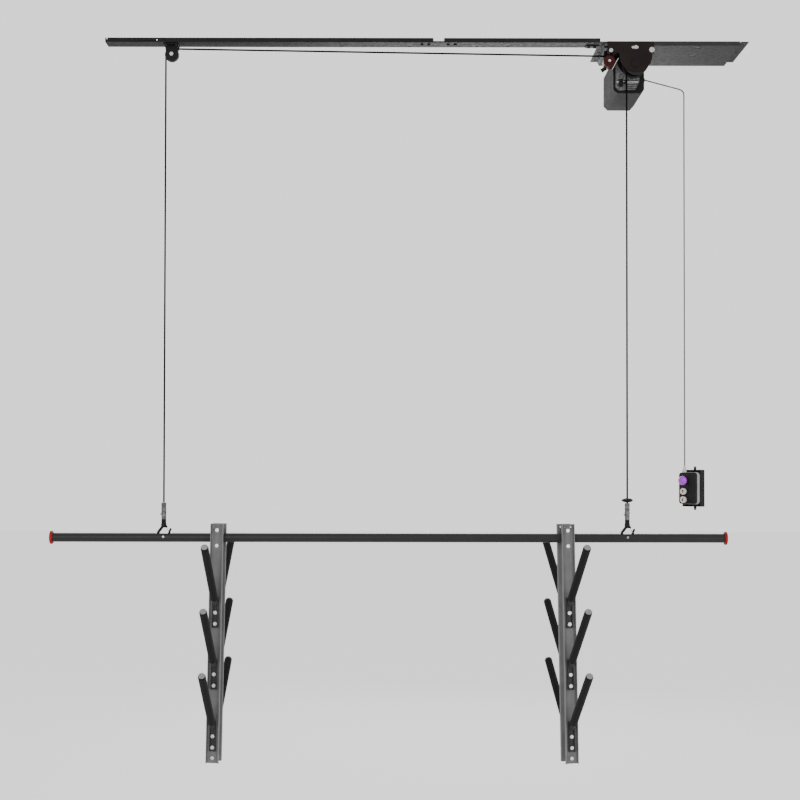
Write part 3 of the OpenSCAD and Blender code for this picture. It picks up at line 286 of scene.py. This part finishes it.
def foam_rubber(name, dark, light):
    """Closed-cell foam: matte, with small open cells in its skin."""
    mat, tree, shader = shader_nodes(name)
    vector = coords(tree)
    cells = cell_field(tree, vector, 900.0)
    tone = noise_field(tree, vector, 25.0, 5.0)
    tree.links.new(two_shades(tree, tone, dark, light), shader.inputs["Base Color"])
    tree.links.new(remap(tree, tone, 0.3, 0.7, 0.78, 0.95), shader.inputs["Roughness"])
    shader.inputs["Specular IOR Level"].default_value = 0.15
    shader.inputs["Sheen Weight"].default_value = 0.06
    shader.inputs["Sheen Roughness"].default_value = 0.6
    bump(tree, shader, cells, 0.45, 0.0004)
    return mat


def laminations(name, dark, light):
    """Stacked core plates: thin lines along the depth axis."""
    mat, tree, shader = shader_nodes(name)
    wave = tree.nodes.new("ShaderNodeTexWave")
    wave.bands_direction = "Y"
    wave.inputs["Scale"].default_value = 320.0
    wave.inputs["Distortion"].default_value = 0.3
    tree.links.new(coords(tree), wave.inputs["Vector"])
    tree.links.new(two_shades(tree, wave.outputs["Fac"], dark, light), shader.inputs["Base Color"])
    shader.inputs["Metallic"].default_value = 0.8
    tree.links.new(remap(tree, wave.outputs["Fac"], 0.0, 1.0, 0.35, 0.6), shader.inputs["Roughness"])
    bump(tree, shader, wave.outputs["Fac"], 0.4, 0.0003)
    return mat


MATERIALS = {
    "rail": powder_coat("rail_coat", (0.006, 0.006, 0.007), (0.011, 0.010, 0.012)),
    "plate": powder_coat("plate_coat", (0.030, 0.030, 0.031), (0.044, 0.043, 0.045), 0.42, 0.2, 0.10),
    "winch_frame": powder_coat("winch_frame_coat", (0.008, 0.0042, 0.0036), (0.014, 0.0075, 0.0062)),
    "housing": powder_coat("housing_coat", (0.050, 0.050, 0.051), (0.066, 0.065, 0.067), 0.62, 0.2, 0.02),
    "tree": powder_coat("tree_coat", (0.150, 0.150, 0.151), (0.195, 0.194, 0.195), 0.40, 0.25),
    "peg": powder_coat("peg_coat", (0.010, 0.010, 0.011), (0.018, 0.018, 0.019)),
    "bar": powder_coat("bar_coat", (0.0055, 0.0055, 0.006), (0.010, 0.010, 0.011), 0.34, 0.3),
    "hook": cast_paint("hook_forging", (0.004, 0.004, 0.004), (0.008, 0.0075, 0.0075)),
    "drum": cast_paint("drum_casting", (0.018, 0.017, 0.017), (0.030, 0.029, 0.028)),
    "zinc": zinc_plate("zinc_plate", (0.62, 0.62, 0.64), (0.80, 0.80, 0.81)),
    "steel": turned_steel("turned_steel", (0.42, 0.42, 0.44), (0.60, 0.60, 0.61)),
    "ferrule": swaged("swaged_steel", (0.030, 0.030, 0.031), (0.23, 0.23, 0.24)),
    "end_casting": swaged("end_casting_alloy", (0.035, 0.035, 0.035), (0.33, 0.33, 0.33), 110.0),
    "sheave": moulded("sheave_nylon", (0.020, 0.018, 0.018), (0.032, 0.030, 0.030), 0.4),
    "roller": moulded("roller_nylon", (0.034, 0.0014, 0.0012), (0.060, 0.0026, 0.0022), 0.36),
    "cap": moulded("cap_plastic", (0.27, 0.0050, 0.0022), (0.38, 0.0090, 0.0036), 0.38),
    "black": moulded("black_plastic", (0.004, 0.004, 0.004), (0.008, 0.008, 0.008), 0.45),
    "pendant": moulded("pendant_plastic", (0.011, 0.011, 0.012), (0.018, 0.018, 0.019), 0.5),
    "rim": moulded("rim_plastic", (0.34, 0.34, 0.34), (0.42, 0.42, 0.42), 0.5),
    "plug": moulded("plug_plastic", (0.26, 0.26, 0.26), (0.33, 0.33, 0.33), 0.5),
    "white": moulded("white_plastic", (0.74, 0.72, 0.69), (0.82, 0.80, 0.77), 0.35, 1400.0, 0.05, 0.3),
    "violet": moulded("violet_dome", (0.40, 0.045, 0.62), (0.52, 0.070, 0.78), 0.22, 1400.0, 0.02, 1.0),
    "arrow": moulded("arrow_ink", (0.13, 0.012, 0.012), (0.18, 0.018, 0.016), 0.4),
    "rope": moulded("rope_sheath", (0.0015, 0.0015, 0.0015), (0.003, 0.003, 0.003), 0.5, 700.0, 0.2, 0.0, 0.04),
    "cable": moulded("cable_sheath", (0.13, 0.13, 0.13), (0.19, 0.19, 0.19), 0.5, 900.0, 0.2),
    "core": laminations("core_plates", (0.10, 0.09, 0.08), (0.32, 0.30, 0.27)),
    "alloy": turned_steel("capacitor_can", (0.60, 0.60, 0.62), (0.74, 0.74, 0.76), 0.3),
    "foam": foam_rubber("foam_sleeve", (0.004, 0.004, 0.004), (0.009, 0.009, 0.009)),
    "button_strip": moulded("button_strip_plastic", (0.012, 0.017, 0.013), (0.017, 0.023, 0.018), 0.4),
}

NODE_LOOKS = {
    "rail_left": "rail", "rail_right": "rail", "rail_joiners": "rail", "rail_bolts": "peg",
    "winch_plate": "plate", "pulley_bracket": "rail", "pulley_sheave": "sheave", "axle_bolts": "zinc",
    "winch_front_plate": "winch_frame", "winch_rear_plate": "winch_frame", "winch_bolts": "zinc",
    "drum": "drum", "output_shaft": "steel", "bearings": "steel", "guide_roller": "roller",
    "guide_bracket": "rail", "motor_housing": "housing", "motor_cover": "black", "stator": "core",
    "rotor": "steel", "gear_idler": "steel", "capacitor": "alloy", "limit_switch": "black",
    "limit_lever": "black", "winch_gland": "black", "stop_disc": "black", "rope_ferrules": "ferrule",
    "hook_heads": "hook", "hooks": "hook", "latch_left": "steel", "latch_right": "steel",
    "bar_tube": "bar", "bar_caps": "cap", "bar_pins": "steel", "pendant_back": "pendant",
    "pendant_rim": "rim", "pendant_cover": "pendant", "pendant_contacts": "white",
    "stop_button": "violet", "up_button": "white", "down_button": "white", "pendant_gland": "white",
}
for side in TREE_BODIES:
    NODE_LOOKS[f"tree_{side}_channels"] = "tree"
    NODE_LOOKS[f"tree_{side}_pegs"] = "peg"
    NODE_LOOKS[f"tree_{side}_plugs"] = "plug"
    NODE_LOOKS[f"tree_{side}_bolts"] = "zinc"
    NODE_LOOKS[f"tree_{side}_spacers"] = "steel"

EDGE_ROUND = {
    "rail": 0.0007, "plate": 0.0007, "winch_frame": 0.0006, "housing": 0.0018, "tree": 0.0007,
    "black": 0.0006, "pendant": 0.0012, "rim": 0.0010, "cap": 0.0016, "plug": 0.0008, "white": 0.0010,
    "zinc": 0.0004, "hook": 0.0008, "roller": 0.0012, "sheave": 0.0008, "drum": 0.0008, "violet": 0.0006,
}
SHARP_ANGLE = math.radians(32.0)


def soften(obj, width):
    """Rounds the sharp edges by a small true radius."""
    weld = obj.modifiers.new("weld", "WELD")
    weld.merge_threshold = 0.00002
    bevel = obj.modifiers.new("edge_round", "BEVEL")
    bevel.width = width
    bevel.segments = 2
    bevel.limit_method = "ANGLE"
    bevel.angle_limit = SHARP_ANGLE
    bevel.use_clamp_overlap = True
    bevel.harden_normals = False


def dress_cad_nodes():
    for name, look in NODE_LOOKS.items():
        obj = NODES[name]
        obj.data.materials.clear()
        obj.data.materials.append(MATERIALS[look])
        if look in EDGE_ROUND:
            soften(obj, EDGE_ROUND[look])


# ---------- mesh helpers ----------


def finish_mesh(name, bm, body, look, sharp=35.0):
    """Turns a bmesh into a shaded piece that rides on a body."""
    bmesh.ops.recalc_face_normals(bm, faces=bm.faces)
    mesh = bpy.data.meshes.new(name)
    bm.to_mesh(mesh)
    bm.free()
    mesh.materials.append(MATERIALS[look])
    for face in mesh.polygons:
        face.use_smooth = True
    mesh.set_sharp_from_angle(angle=math.radians(sharp))
    obj = bpy.data.objects.new(name, mesh)
    bpy.context.scene.collection.objects.link(obj)
    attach(obj, body)
    return obj


def frames_along(points):
    """A tangent, normal and binormal at every point, carried along without twist."""
    tangents = []
    last = len(points) - 1
    for i in range(len(points)):
        tangents.append((points[min(i + 1, last)] - points[max(i - 1, 0)]).normalized())
    normal = tangents[0].orthogonal().normalized()
    out = []
    for tangent in tangents:
        normal = (normal - tangent * normal.dot(tangent)).normalized()
        out.append((tangent, normal, tangent.cross(normal)))
    return out


def tube(bm, points, radius, sides=24, closed=False, squash=None):
    """Sweeps a section along points; radius(i, angle) gives its radius."""
    rings = []
    for i, (point, (_, normal, side)) in enumerate(zip(points, frames_along(points))):
        ring = []
        for j in range(sides):
            angle = 2.0 * math.pi * j / sides
            r = radius(i, angle)
            wide, deep = squash(i) if squash else (1.0, 1.0)
            across = normal * (r * wide * math.cos(angle)) + side * (r * deep * math.sin(angle))
            ring.append(bm.verts.new(point + across))
        rings.append(ring)
    pairs = list(zip(rings, rings[1:]))
    if closed:
        pairs.append((rings[-1], rings[0]))
    for a, b in pairs:
        for j in range(sides):
            bm.faces.new((a[j], a[(j + 1) % sides], b[(j + 1) % sides], b[j]))
    if not closed:
        bm.faces.new(rings[0])
        bm.faces.new(reversed(rings[-1]))
    return rings


def resample(points, step):
    """Points at an even spacing along a line of points."""
    out = [points[0].copy()]
    need = step
    for a, b in zip(points, points[1:]):
        span = (b - a).length
        at = 0.0
        while span - at >= need:
            at += need
            out.append(a.lerp(b, at / span))
            need = step
        need -= span - at
    if (out[-1] - points[-1]).length > step * 0.3:
        out.append(points[-1].copy())
    return out


def revolve(bm, profile, matrix, sides=48):
    """Turns a closed outline of (radius, height) points about local Z."""
    rings = []
    for j in range(sides):
        angle = 2.0 * math.pi * j / sides
        ring = [bm.verts.new(matrix @ Vector((r * math.cos(angle), r * math.sin(angle), z))) for r, z in profile]
        rings.append(ring)
    count = len(profile)
    for j in range(sides):
        a = rings[j]
        b = rings[(j + 1) % sides]
        for i in range(count):
            k = (i + 1) % count
            bm.faces.new((a[i], b[i], b[k], a[k]))
    return rings


# ---------- ropes ----------

STRANDS = 6
LAY = 0.034
RING_STEP = 0.0022


def strand_radius(step):
    """Six strands under a tight sheath, turning once in each lay length."""
    def radius(i, angle):
        phase = 2.0 * math.pi * i * step / LAY
        ridge = abs(math.cos(STRANDS / 2.0 * (angle - phase)))
        return ROPE_R * (0.87 + 0.13 * ridge)
    return radius


def arc_points(cx, cy, cz, r, start, sweep, steps=40):
    """Points on a circle in the x-z plane, angles in degrees."""
    out = []
    for k in range(steps + 1):
        a = math.radians(start + sweep * k / steps)
        out.append(row(cx + r * math.cos(a), cy, cz + r * math.sin(a)))
    return out


def make_rope(name, points, node, body="ceiling_unit", closed=False):
    line = resample(points, RING_STEP)
    bm = bmesh.new()
    tube(bm, line, strand_radius(RING_STEP), closed=closed)
    rope = finish_mesh(name, bm, body, "rope", 70.0)
    if node:
        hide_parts(node)
    return rope


def ropes():
    left_turn = 3 * TURN_PITCH
    drop = (DRUM_Z + DRUM_ROPE_R) - (SHEAVE_Z + SHEAVE_ROPE_R)
    sag = math.degrees(math.atan(-drop / (DRUM_X - SHEAVE_X)))
    over = arc_points(SHEAVE_X, 0.0, SHEAVE_Z, SHEAVE_ROPE_R, 180.0, -90.0 - sag)
    round_drum = arc_points(DRUM_X, left_turn, DRUM_Z, DRUM_ROPE_R, 90.0 - sag, sag - 260.0, 80)
    make_rope("rope_over_rail", over + round_drum, "rope_long")
    make_rope("rope_on_drum", arc_points(DRUM_X, 0.0, DRUM_Z, DRUM_ROPE_R, 180.0, -260.0, 80), "rope_right_wrap")
    for name, x, top in (("left", -HALF_ROPE, SHEAVE_Z), ("right", HALF_ROPE, DRUM_Z)):
        node = f"rope_{name}_drop"
        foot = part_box(node)[0][2]
        start = row(x, 0.0, top)
        end = Vector((start.x, start.y, foot))
        rope = make_rope(f"lift_rope_{name}", [start, end], node)
        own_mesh(rope)
    bm = bmesh.new()
    for first in (0.0, left_turn):
        for k in (1, 2):
            turn = arc_points(DRUM_X, first + k * TURN_PITCH, DRUM_Z, DRUM_ROPE_R - 0.0003, 0.0, -360.0, 96)
            around = math.pi * 2.0 * (DRUM_ROPE_R - 0.0003)
            count = round(around / RING_STEP)
            line = resample(turn, around / count * 0.9999)[:count]
            lays = round(around / LAY)
            step = LAY * lays / count
            tube(bm, line, strand_radius(step), closed=True)
    wound = finish_mesh("wound_turns", bm, "drum_set", "rope", 70.0)
    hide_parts("drum_rope")


# ---------- control cable ----------


def cable_route():
    slope = math.atan(CABLE_FALL / CABLE_REACH)
    turn = math.pi / 2.0 - slope
    corner_z = CABLE_Z - CABLE_FALL
    centre = (CABLE_X - CABLE_BEND, corner_z - CABLE_BEND * math.tan(turn / 2.0))
    foot = -PENDANT_DROP - 0.018
    points = [(GLAND_X + 0.010, CABLE_Z), (GLAND_X + 0.020, CABLE_Z - 0.0005)]
    for k in range(1, 7):
        points.append((GLAND_X + 0.020 + k * CABLE_REACH / 8.0, CABLE_Z - 0.0005 - k * CABLE_FALL / 8.2))
    for k in range(7):
        a = turn - k * turn / 6.0
        points.append((centre[0] + CABLE_BEND * math.cos(a), centre[1] + CABLE_BEND * math.sin(a)))
    for k in range(1, 21):
        points.append((CABLE_X, centre[1] + (foot - centre[1]) * k / 20.0))
    return [row(x, CABLE_Y, z) for x, z in points]


def control_cable():
    points = cable_route()
    curve = bpy.data.curves.new("hanging_cable", "CURVE")
    curve.dimensions = "3D"
    curve.bevel_depth = CABLE_R
    curve.bevel_resolution = 6
    curve.use_fill_caps = True
    spline = curve.splines.new("BEZIER")
    spline.bezier_points.add(len(points) - 1)
    spline.resolution_u = 6
    for knot, point in zip(spline.bezier_points, points):
        knot.co = point
        knot.handle_left_type = "AUTO"
        knot.handle_right_type = "AUTO"
    curve.materials.append(MATERIALS["cable"])
    cable = bpy.data.objects.new("hanging_cable", curve)
    bpy.context.scene.collection.objects.link(cable)
    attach(cable, "ceiling_unit")
    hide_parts("control_cable")


# ---------- peg trees ----------


def tree_matrix(side):
    x, yaw, lean = TREE_BODIES[side]
    return (Matrix.Translation(row(x, 0.0, BAR_Z)) @ Matrix.Rotation(math.radians(lean), 4, "Y")
            @ Matrix.Rotation(math.radians(yaw), 4, "Z"))


def peg_matrices(side):
    """Where each peg starts: local Z runs out along the peg."""
    for facing in (-1, 1):
        for k in range(3):
            flip = Matrix.Scale(facing, 4, Vector((0, 1, 0)))
            start = Matrix.Translation((0.0, WEB_FACE + PEG_TUBE_R - 0.001, FIRST_PEG - k * PEG_PITCH + PEG_RISE))
            tilt = Matrix.Rotation(math.radians(-45.0), 4, "X")
            yield facing, k, tree_matrix(side) @ flip @ start @ tilt


def sleeve_profile():
    """Foam tube outline with soft ends and a slight swell."""
    top = PEG_LENGTH - 0.003
    inner = PEG_TUBE_R + 0.0001
    soft = 0.0022
    outline = [(inner, FOAM_START)]
    for k in range(5):
        a = math.radians(-90.0 + 22.5 * k)
        outline.append((FOAM_R - soft + soft * math.cos(a), FOAM_START + soft + soft * math.sin(a)))
    rows = 40
    for k in range(1, rows):
        outline.append((FOAM_R, FOAM_START + soft + (top - FOAM_START - 2 * soft) * k / rows))
    for k in range(5):
        a = math.radians(22.5 * k)
        outline.append((FOAM_R - soft + soft * math.cos(a), top - soft + soft * math.sin(a)))
    outline.append((inner, top))
    return outline


SLEEVE_SIDES = 40
DENTS_PER_METRE = 45.0
DENT_DEPTH = 0.0002


def foam_sleeves():
    """The foam tubes on the pegs, with shallow dents in their outer skin."""
    for side in TREE_BODIES:
        bm = bmesh.new()
        for _, _, matrix in peg_matrices(side):
            rings = revolve(bm, sleeve_profile(), matrix, SLEEVE_SIDES)
            axis_at = matrix.translation
            axis = (matrix.to_3x3() @ Vector((0, 0, 1))).normalized()
            for ring in rings:
                for vert in ring:
                    along = (vert.co - axis_at).dot(axis)
                    centre = axis_at + axis * along
                    out = vert.co - centre
                    if out.length > PEG_TUBE_R + 0.001:
                        dent = noise.noise(vert.co * DENTS_PER_METRE) * DENT_DEPTH - DENT_DEPTH
                        vert.co = centre + out * (1.0 + dent / out.length)
        sleeves = finish_mesh(f"foam_sleeves_{side}", bm, f"tree_{side}", "foam", 60.0)
        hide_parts(f"tree_{side}_sleeves")


# ---------- pendant ----------


def pendant_matrix():
    return (Matrix.Translation(row(CABLE_X, CABLE_Y, 0.0)) @ Matrix.Rotation(math.radians(PENDANT_YAW), 4, "Z")
            @ Matrix.Translation((PENDANT_DX, 0.0, BODY_Z)))


def plate_from_outline(bm, outline, y0, y1, matrix):
    """A flat plate: an outline in local x-z, between two depths."""
    front = [bm.verts.new(matrix @ Vector((x, y0, z))) for x, z in outline]
    back = [bm.verts.new(matrix @ Vector((x, y1, z))) for x, z in outline]
    bm.faces.new(front)
    bm.faces.new(reversed(back))
    count = len(outline)
    for i in range(count):
        k = (i + 1) % count
        bm.faces.new((front[i], back[i], back[k], front[k]))


def rounded_outline(x0, z0, x1, z1, radius, steps=6):
    """A rectangle with rounded corners, as x-z points."""
    out = []
    for cx, cz, start in ((x1 - radius, z1 - radius, 0.0), (x0 + radius, z1 - radius, 90.0),
                          (x0 + radius, z0 + radius, 180.0), (x1 - radius, z0 + radius, 270.0)):
        for k in range(steps + 1):
            a = math.radians(start + 90.0 * k / steps)
            out.append((cx + radius * math.cos(a), cz + radius * math.sin(a)))
    return out


def ring_outline(cx, cz, radius, steps=28):
    return [(cx + radius * math.cos(2 * math.pi * k / steps), cz + radius * math.sin(2 * math.pi * k / steps))
            for k in range(steps)]


def button_strip():
    """A thin raised strip down the button half of the cover."""
    bm = bmesh.new()
    half_h = COVER_H / 2 - 0.004
    outline = rounded_outline(-COVER_W / 2 + 0.0035, -half_h, 0.0055, half_h, 0.006)
    plate_from_outline(bm, outline, COVER_FRONT - 0.0006, COVER_FRONT + 0.0004, pendant_matrix())
    finish_mesh("button_strip", bm, "pendant", "button_strip")


def winch_trim():
    """Bare cast end panel of the motor, bolt washers and the guide's bright strap."""
    place = Matrix.Translation(-ORIGIN)
    bm = bmesh.new()
    lower = [(0.8025, -0.1140), (0.8025, -0.1520), (0.8120, -0.1640), (0.8680, -0.1640), (0.8890, -0.1350),
             (0.8890, -0.1140)]
    plate_from_outline(bm, lower, 0.0464, 0.0489, place)
    upper = [(0.8025, -0.0640), (0.8025, -0.1138), (0.8420, -0.1138), (0.8420, -0.0640)]
    plate_from_outline(bm, upper, 0.0472, 0.0489, place)
    for k in range(6):
        z = -0.1600 + 0.0072 * k
        half = (0.0300, 0.0340, 0.0380, 0.0400, 0.0410, 0.0410)[k]
        plate_from_outline(bm, rounded_outline(0.8450 - half, z - 0.0017, 0.8450 + half, z + 0.0017, 0.0014, 3),
                           0.0440, 0.0468, place)
    finish_mesh("motor_end_casting", bm, "ceiling_unit", "end_casting")
    bm = bmesh.new()
    plate_from_outline(bm, rounded_outline(0.8050, -0.1362, 0.8850, -0.1310, 0.0024, 4), 0.0432, 0.0462, place)
    finish_mesh("motor_end_rib", bm, "ceiling_unit", "zinc")
    bm = bmesh.new()
    plate_from_outline(bm, rounded_outline(0.8515, -0.0274, 0.8765, -0.0188, 0.0040), -0.0139, -0.0130, place)
    plate_from_outline(bm, ring_outline(0.925, -0.032, 0.0098), -0.0139, -0.0130, place)
    plate_from_outline(bm, ring_outline(0.777, -0.034, 0.0072), -0.0139, -0.0130, place)
    strap = [(0.8046, -0.0630), (0.8026, -0.0620), (0.7806, -0.1022), (0.7826, -0.1032)]
    plate_from_outline(bm, strap, -0.0126, -0.0106, place)
    finish_mesh("front_washers", bm, "ceiling_unit", "zinc")


def arrow_outline(up, dz):
    shape = [(-0.0018, -0.0062), (0.0018, -0.0062), (0.0018, -0.0002), (0.0060, -0.0002), (0.0, 0.0068),
             (-0.0060, -0.0002), (-0.0018, -0.0002)]
    return [(BUTTONS_DX + x, dz + (z if up else -z)) for x, z in shape]


def button_arrows():
    for name, up, dz, body in (("up_arrow", True, -0.0115, "up_key"), ("down_arrow", False, -0.042, "down_key")):
        bm = bmesh.new()
        plate_from_outline(bm, arrow_outline(up, dz), BUTTON_FACE - 0.0003, BUTTON_FACE + 0.0003, pendant_matrix())
        finish_mesh(name, bm, body, "arrow")


# ---------- light and floor ----------

FLOOR_Z = -2.9
SKY_LIGHT = 0.80
SKY_SEEN = 1.4
FLOOR_LIT = 0.8


def studio():
    bm = bmesh.new()
    bmesh.ops.create_grid(bm, x_segments=1, y_segments=1, size=30.0)
    mesh = bpy.data.meshes.new("floor")
    bm.to_mesh(mesh)
    bm.free()
    floor = bpy.data.objects.new("floor", mesh)
    floor.location = (0.0, 0.0, FLOOR_Z)
    bpy.context.scene.collection.objects.link(floor)
    mat, tree, shader = shader_nodes("pale_floor")
    shader.inputs["Base Color"].default_value = (0.86, 0.86, 0.86, 1.0)
    shader.inputs["Roughness"].default_value = 0.9
    shader.inputs["Emission Color"].default_value = (1.0, 1.0, 1.0, 1.0)
    to_camera = tree.nodes.new("ShaderNodeLightPath")
    tree.links.new(remap(tree, to_camera.outputs["Is Camera Ray"], 0.0, 1.0, 0.0, SKY_SEEN - FLOOR_LIT),
                   shader.inputs["Emission Strength"])
    mesh.materials.append(mat)
    world = bpy.data.worlds.new("studio")
    world.use_nodes = True
    sky = world.node_tree.nodes["Background"]
    sky.inputs["Color"].default_value = (1.0, 1.0, 1.0, 1.0)
    sky.inputs["Strength"].default_value = SKY_LIGHT
    seen = world.node_tree.nodes.new("ShaderNodeBackground")
    seen.inputs["Color"].default_value = (1.0, 1.0, 1.0, 1.0)
    seen.inputs["Strength"].default_value = SKY_SEEN
    rays = world.node_tree.nodes.new("ShaderNodeLightPath")
    either = world.node_tree.nodes.new("ShaderNodeMixShader")
    links = world.node_tree.links
    links.new(rays.outputs["Is Camera Ray"], either.inputs["Fac"])
    links.new(sky.outputs["Background"], either.inputs[1])
    links.new(seen.outputs["Background"], either.inputs[2])
    links.new(either.outputs["Shader"], world.node_tree.nodes["World Output"].inputs["Surface"])
    bpy.context.scene.world = world
    middle = row(0.0, 0.0, -1.2)
    for name, place, size, power in (
        ("key_light", (-1.4, -4.2, 0.4), 2.4, 46.0),
        ("fill_light", (3.2, -3.4, -0.6), 2.6, 40.0),
        ("back_light", (0.5, 3.0, 1.2), 2.4, 40.0),
    ):
        data = bpy.data.lights.new(name, "AREA")
        data.shape = "DISK"
        data.size = size
        data.energy = power
        lamp = bpy.data.objects.new(name, data)
        lamp.location = middle + Vector(place)
        lamp.rotation_euler = (middle - lamp.location).to_track_quat("-Z", "Y").to_euler()
        bpy.context.scene.collection.objects.link(lamp)


control_cable()
ropes()
dress_cad_nodes()
foam_sleeves()
button_arrows()
button_strip()
winch_trim()
studio()
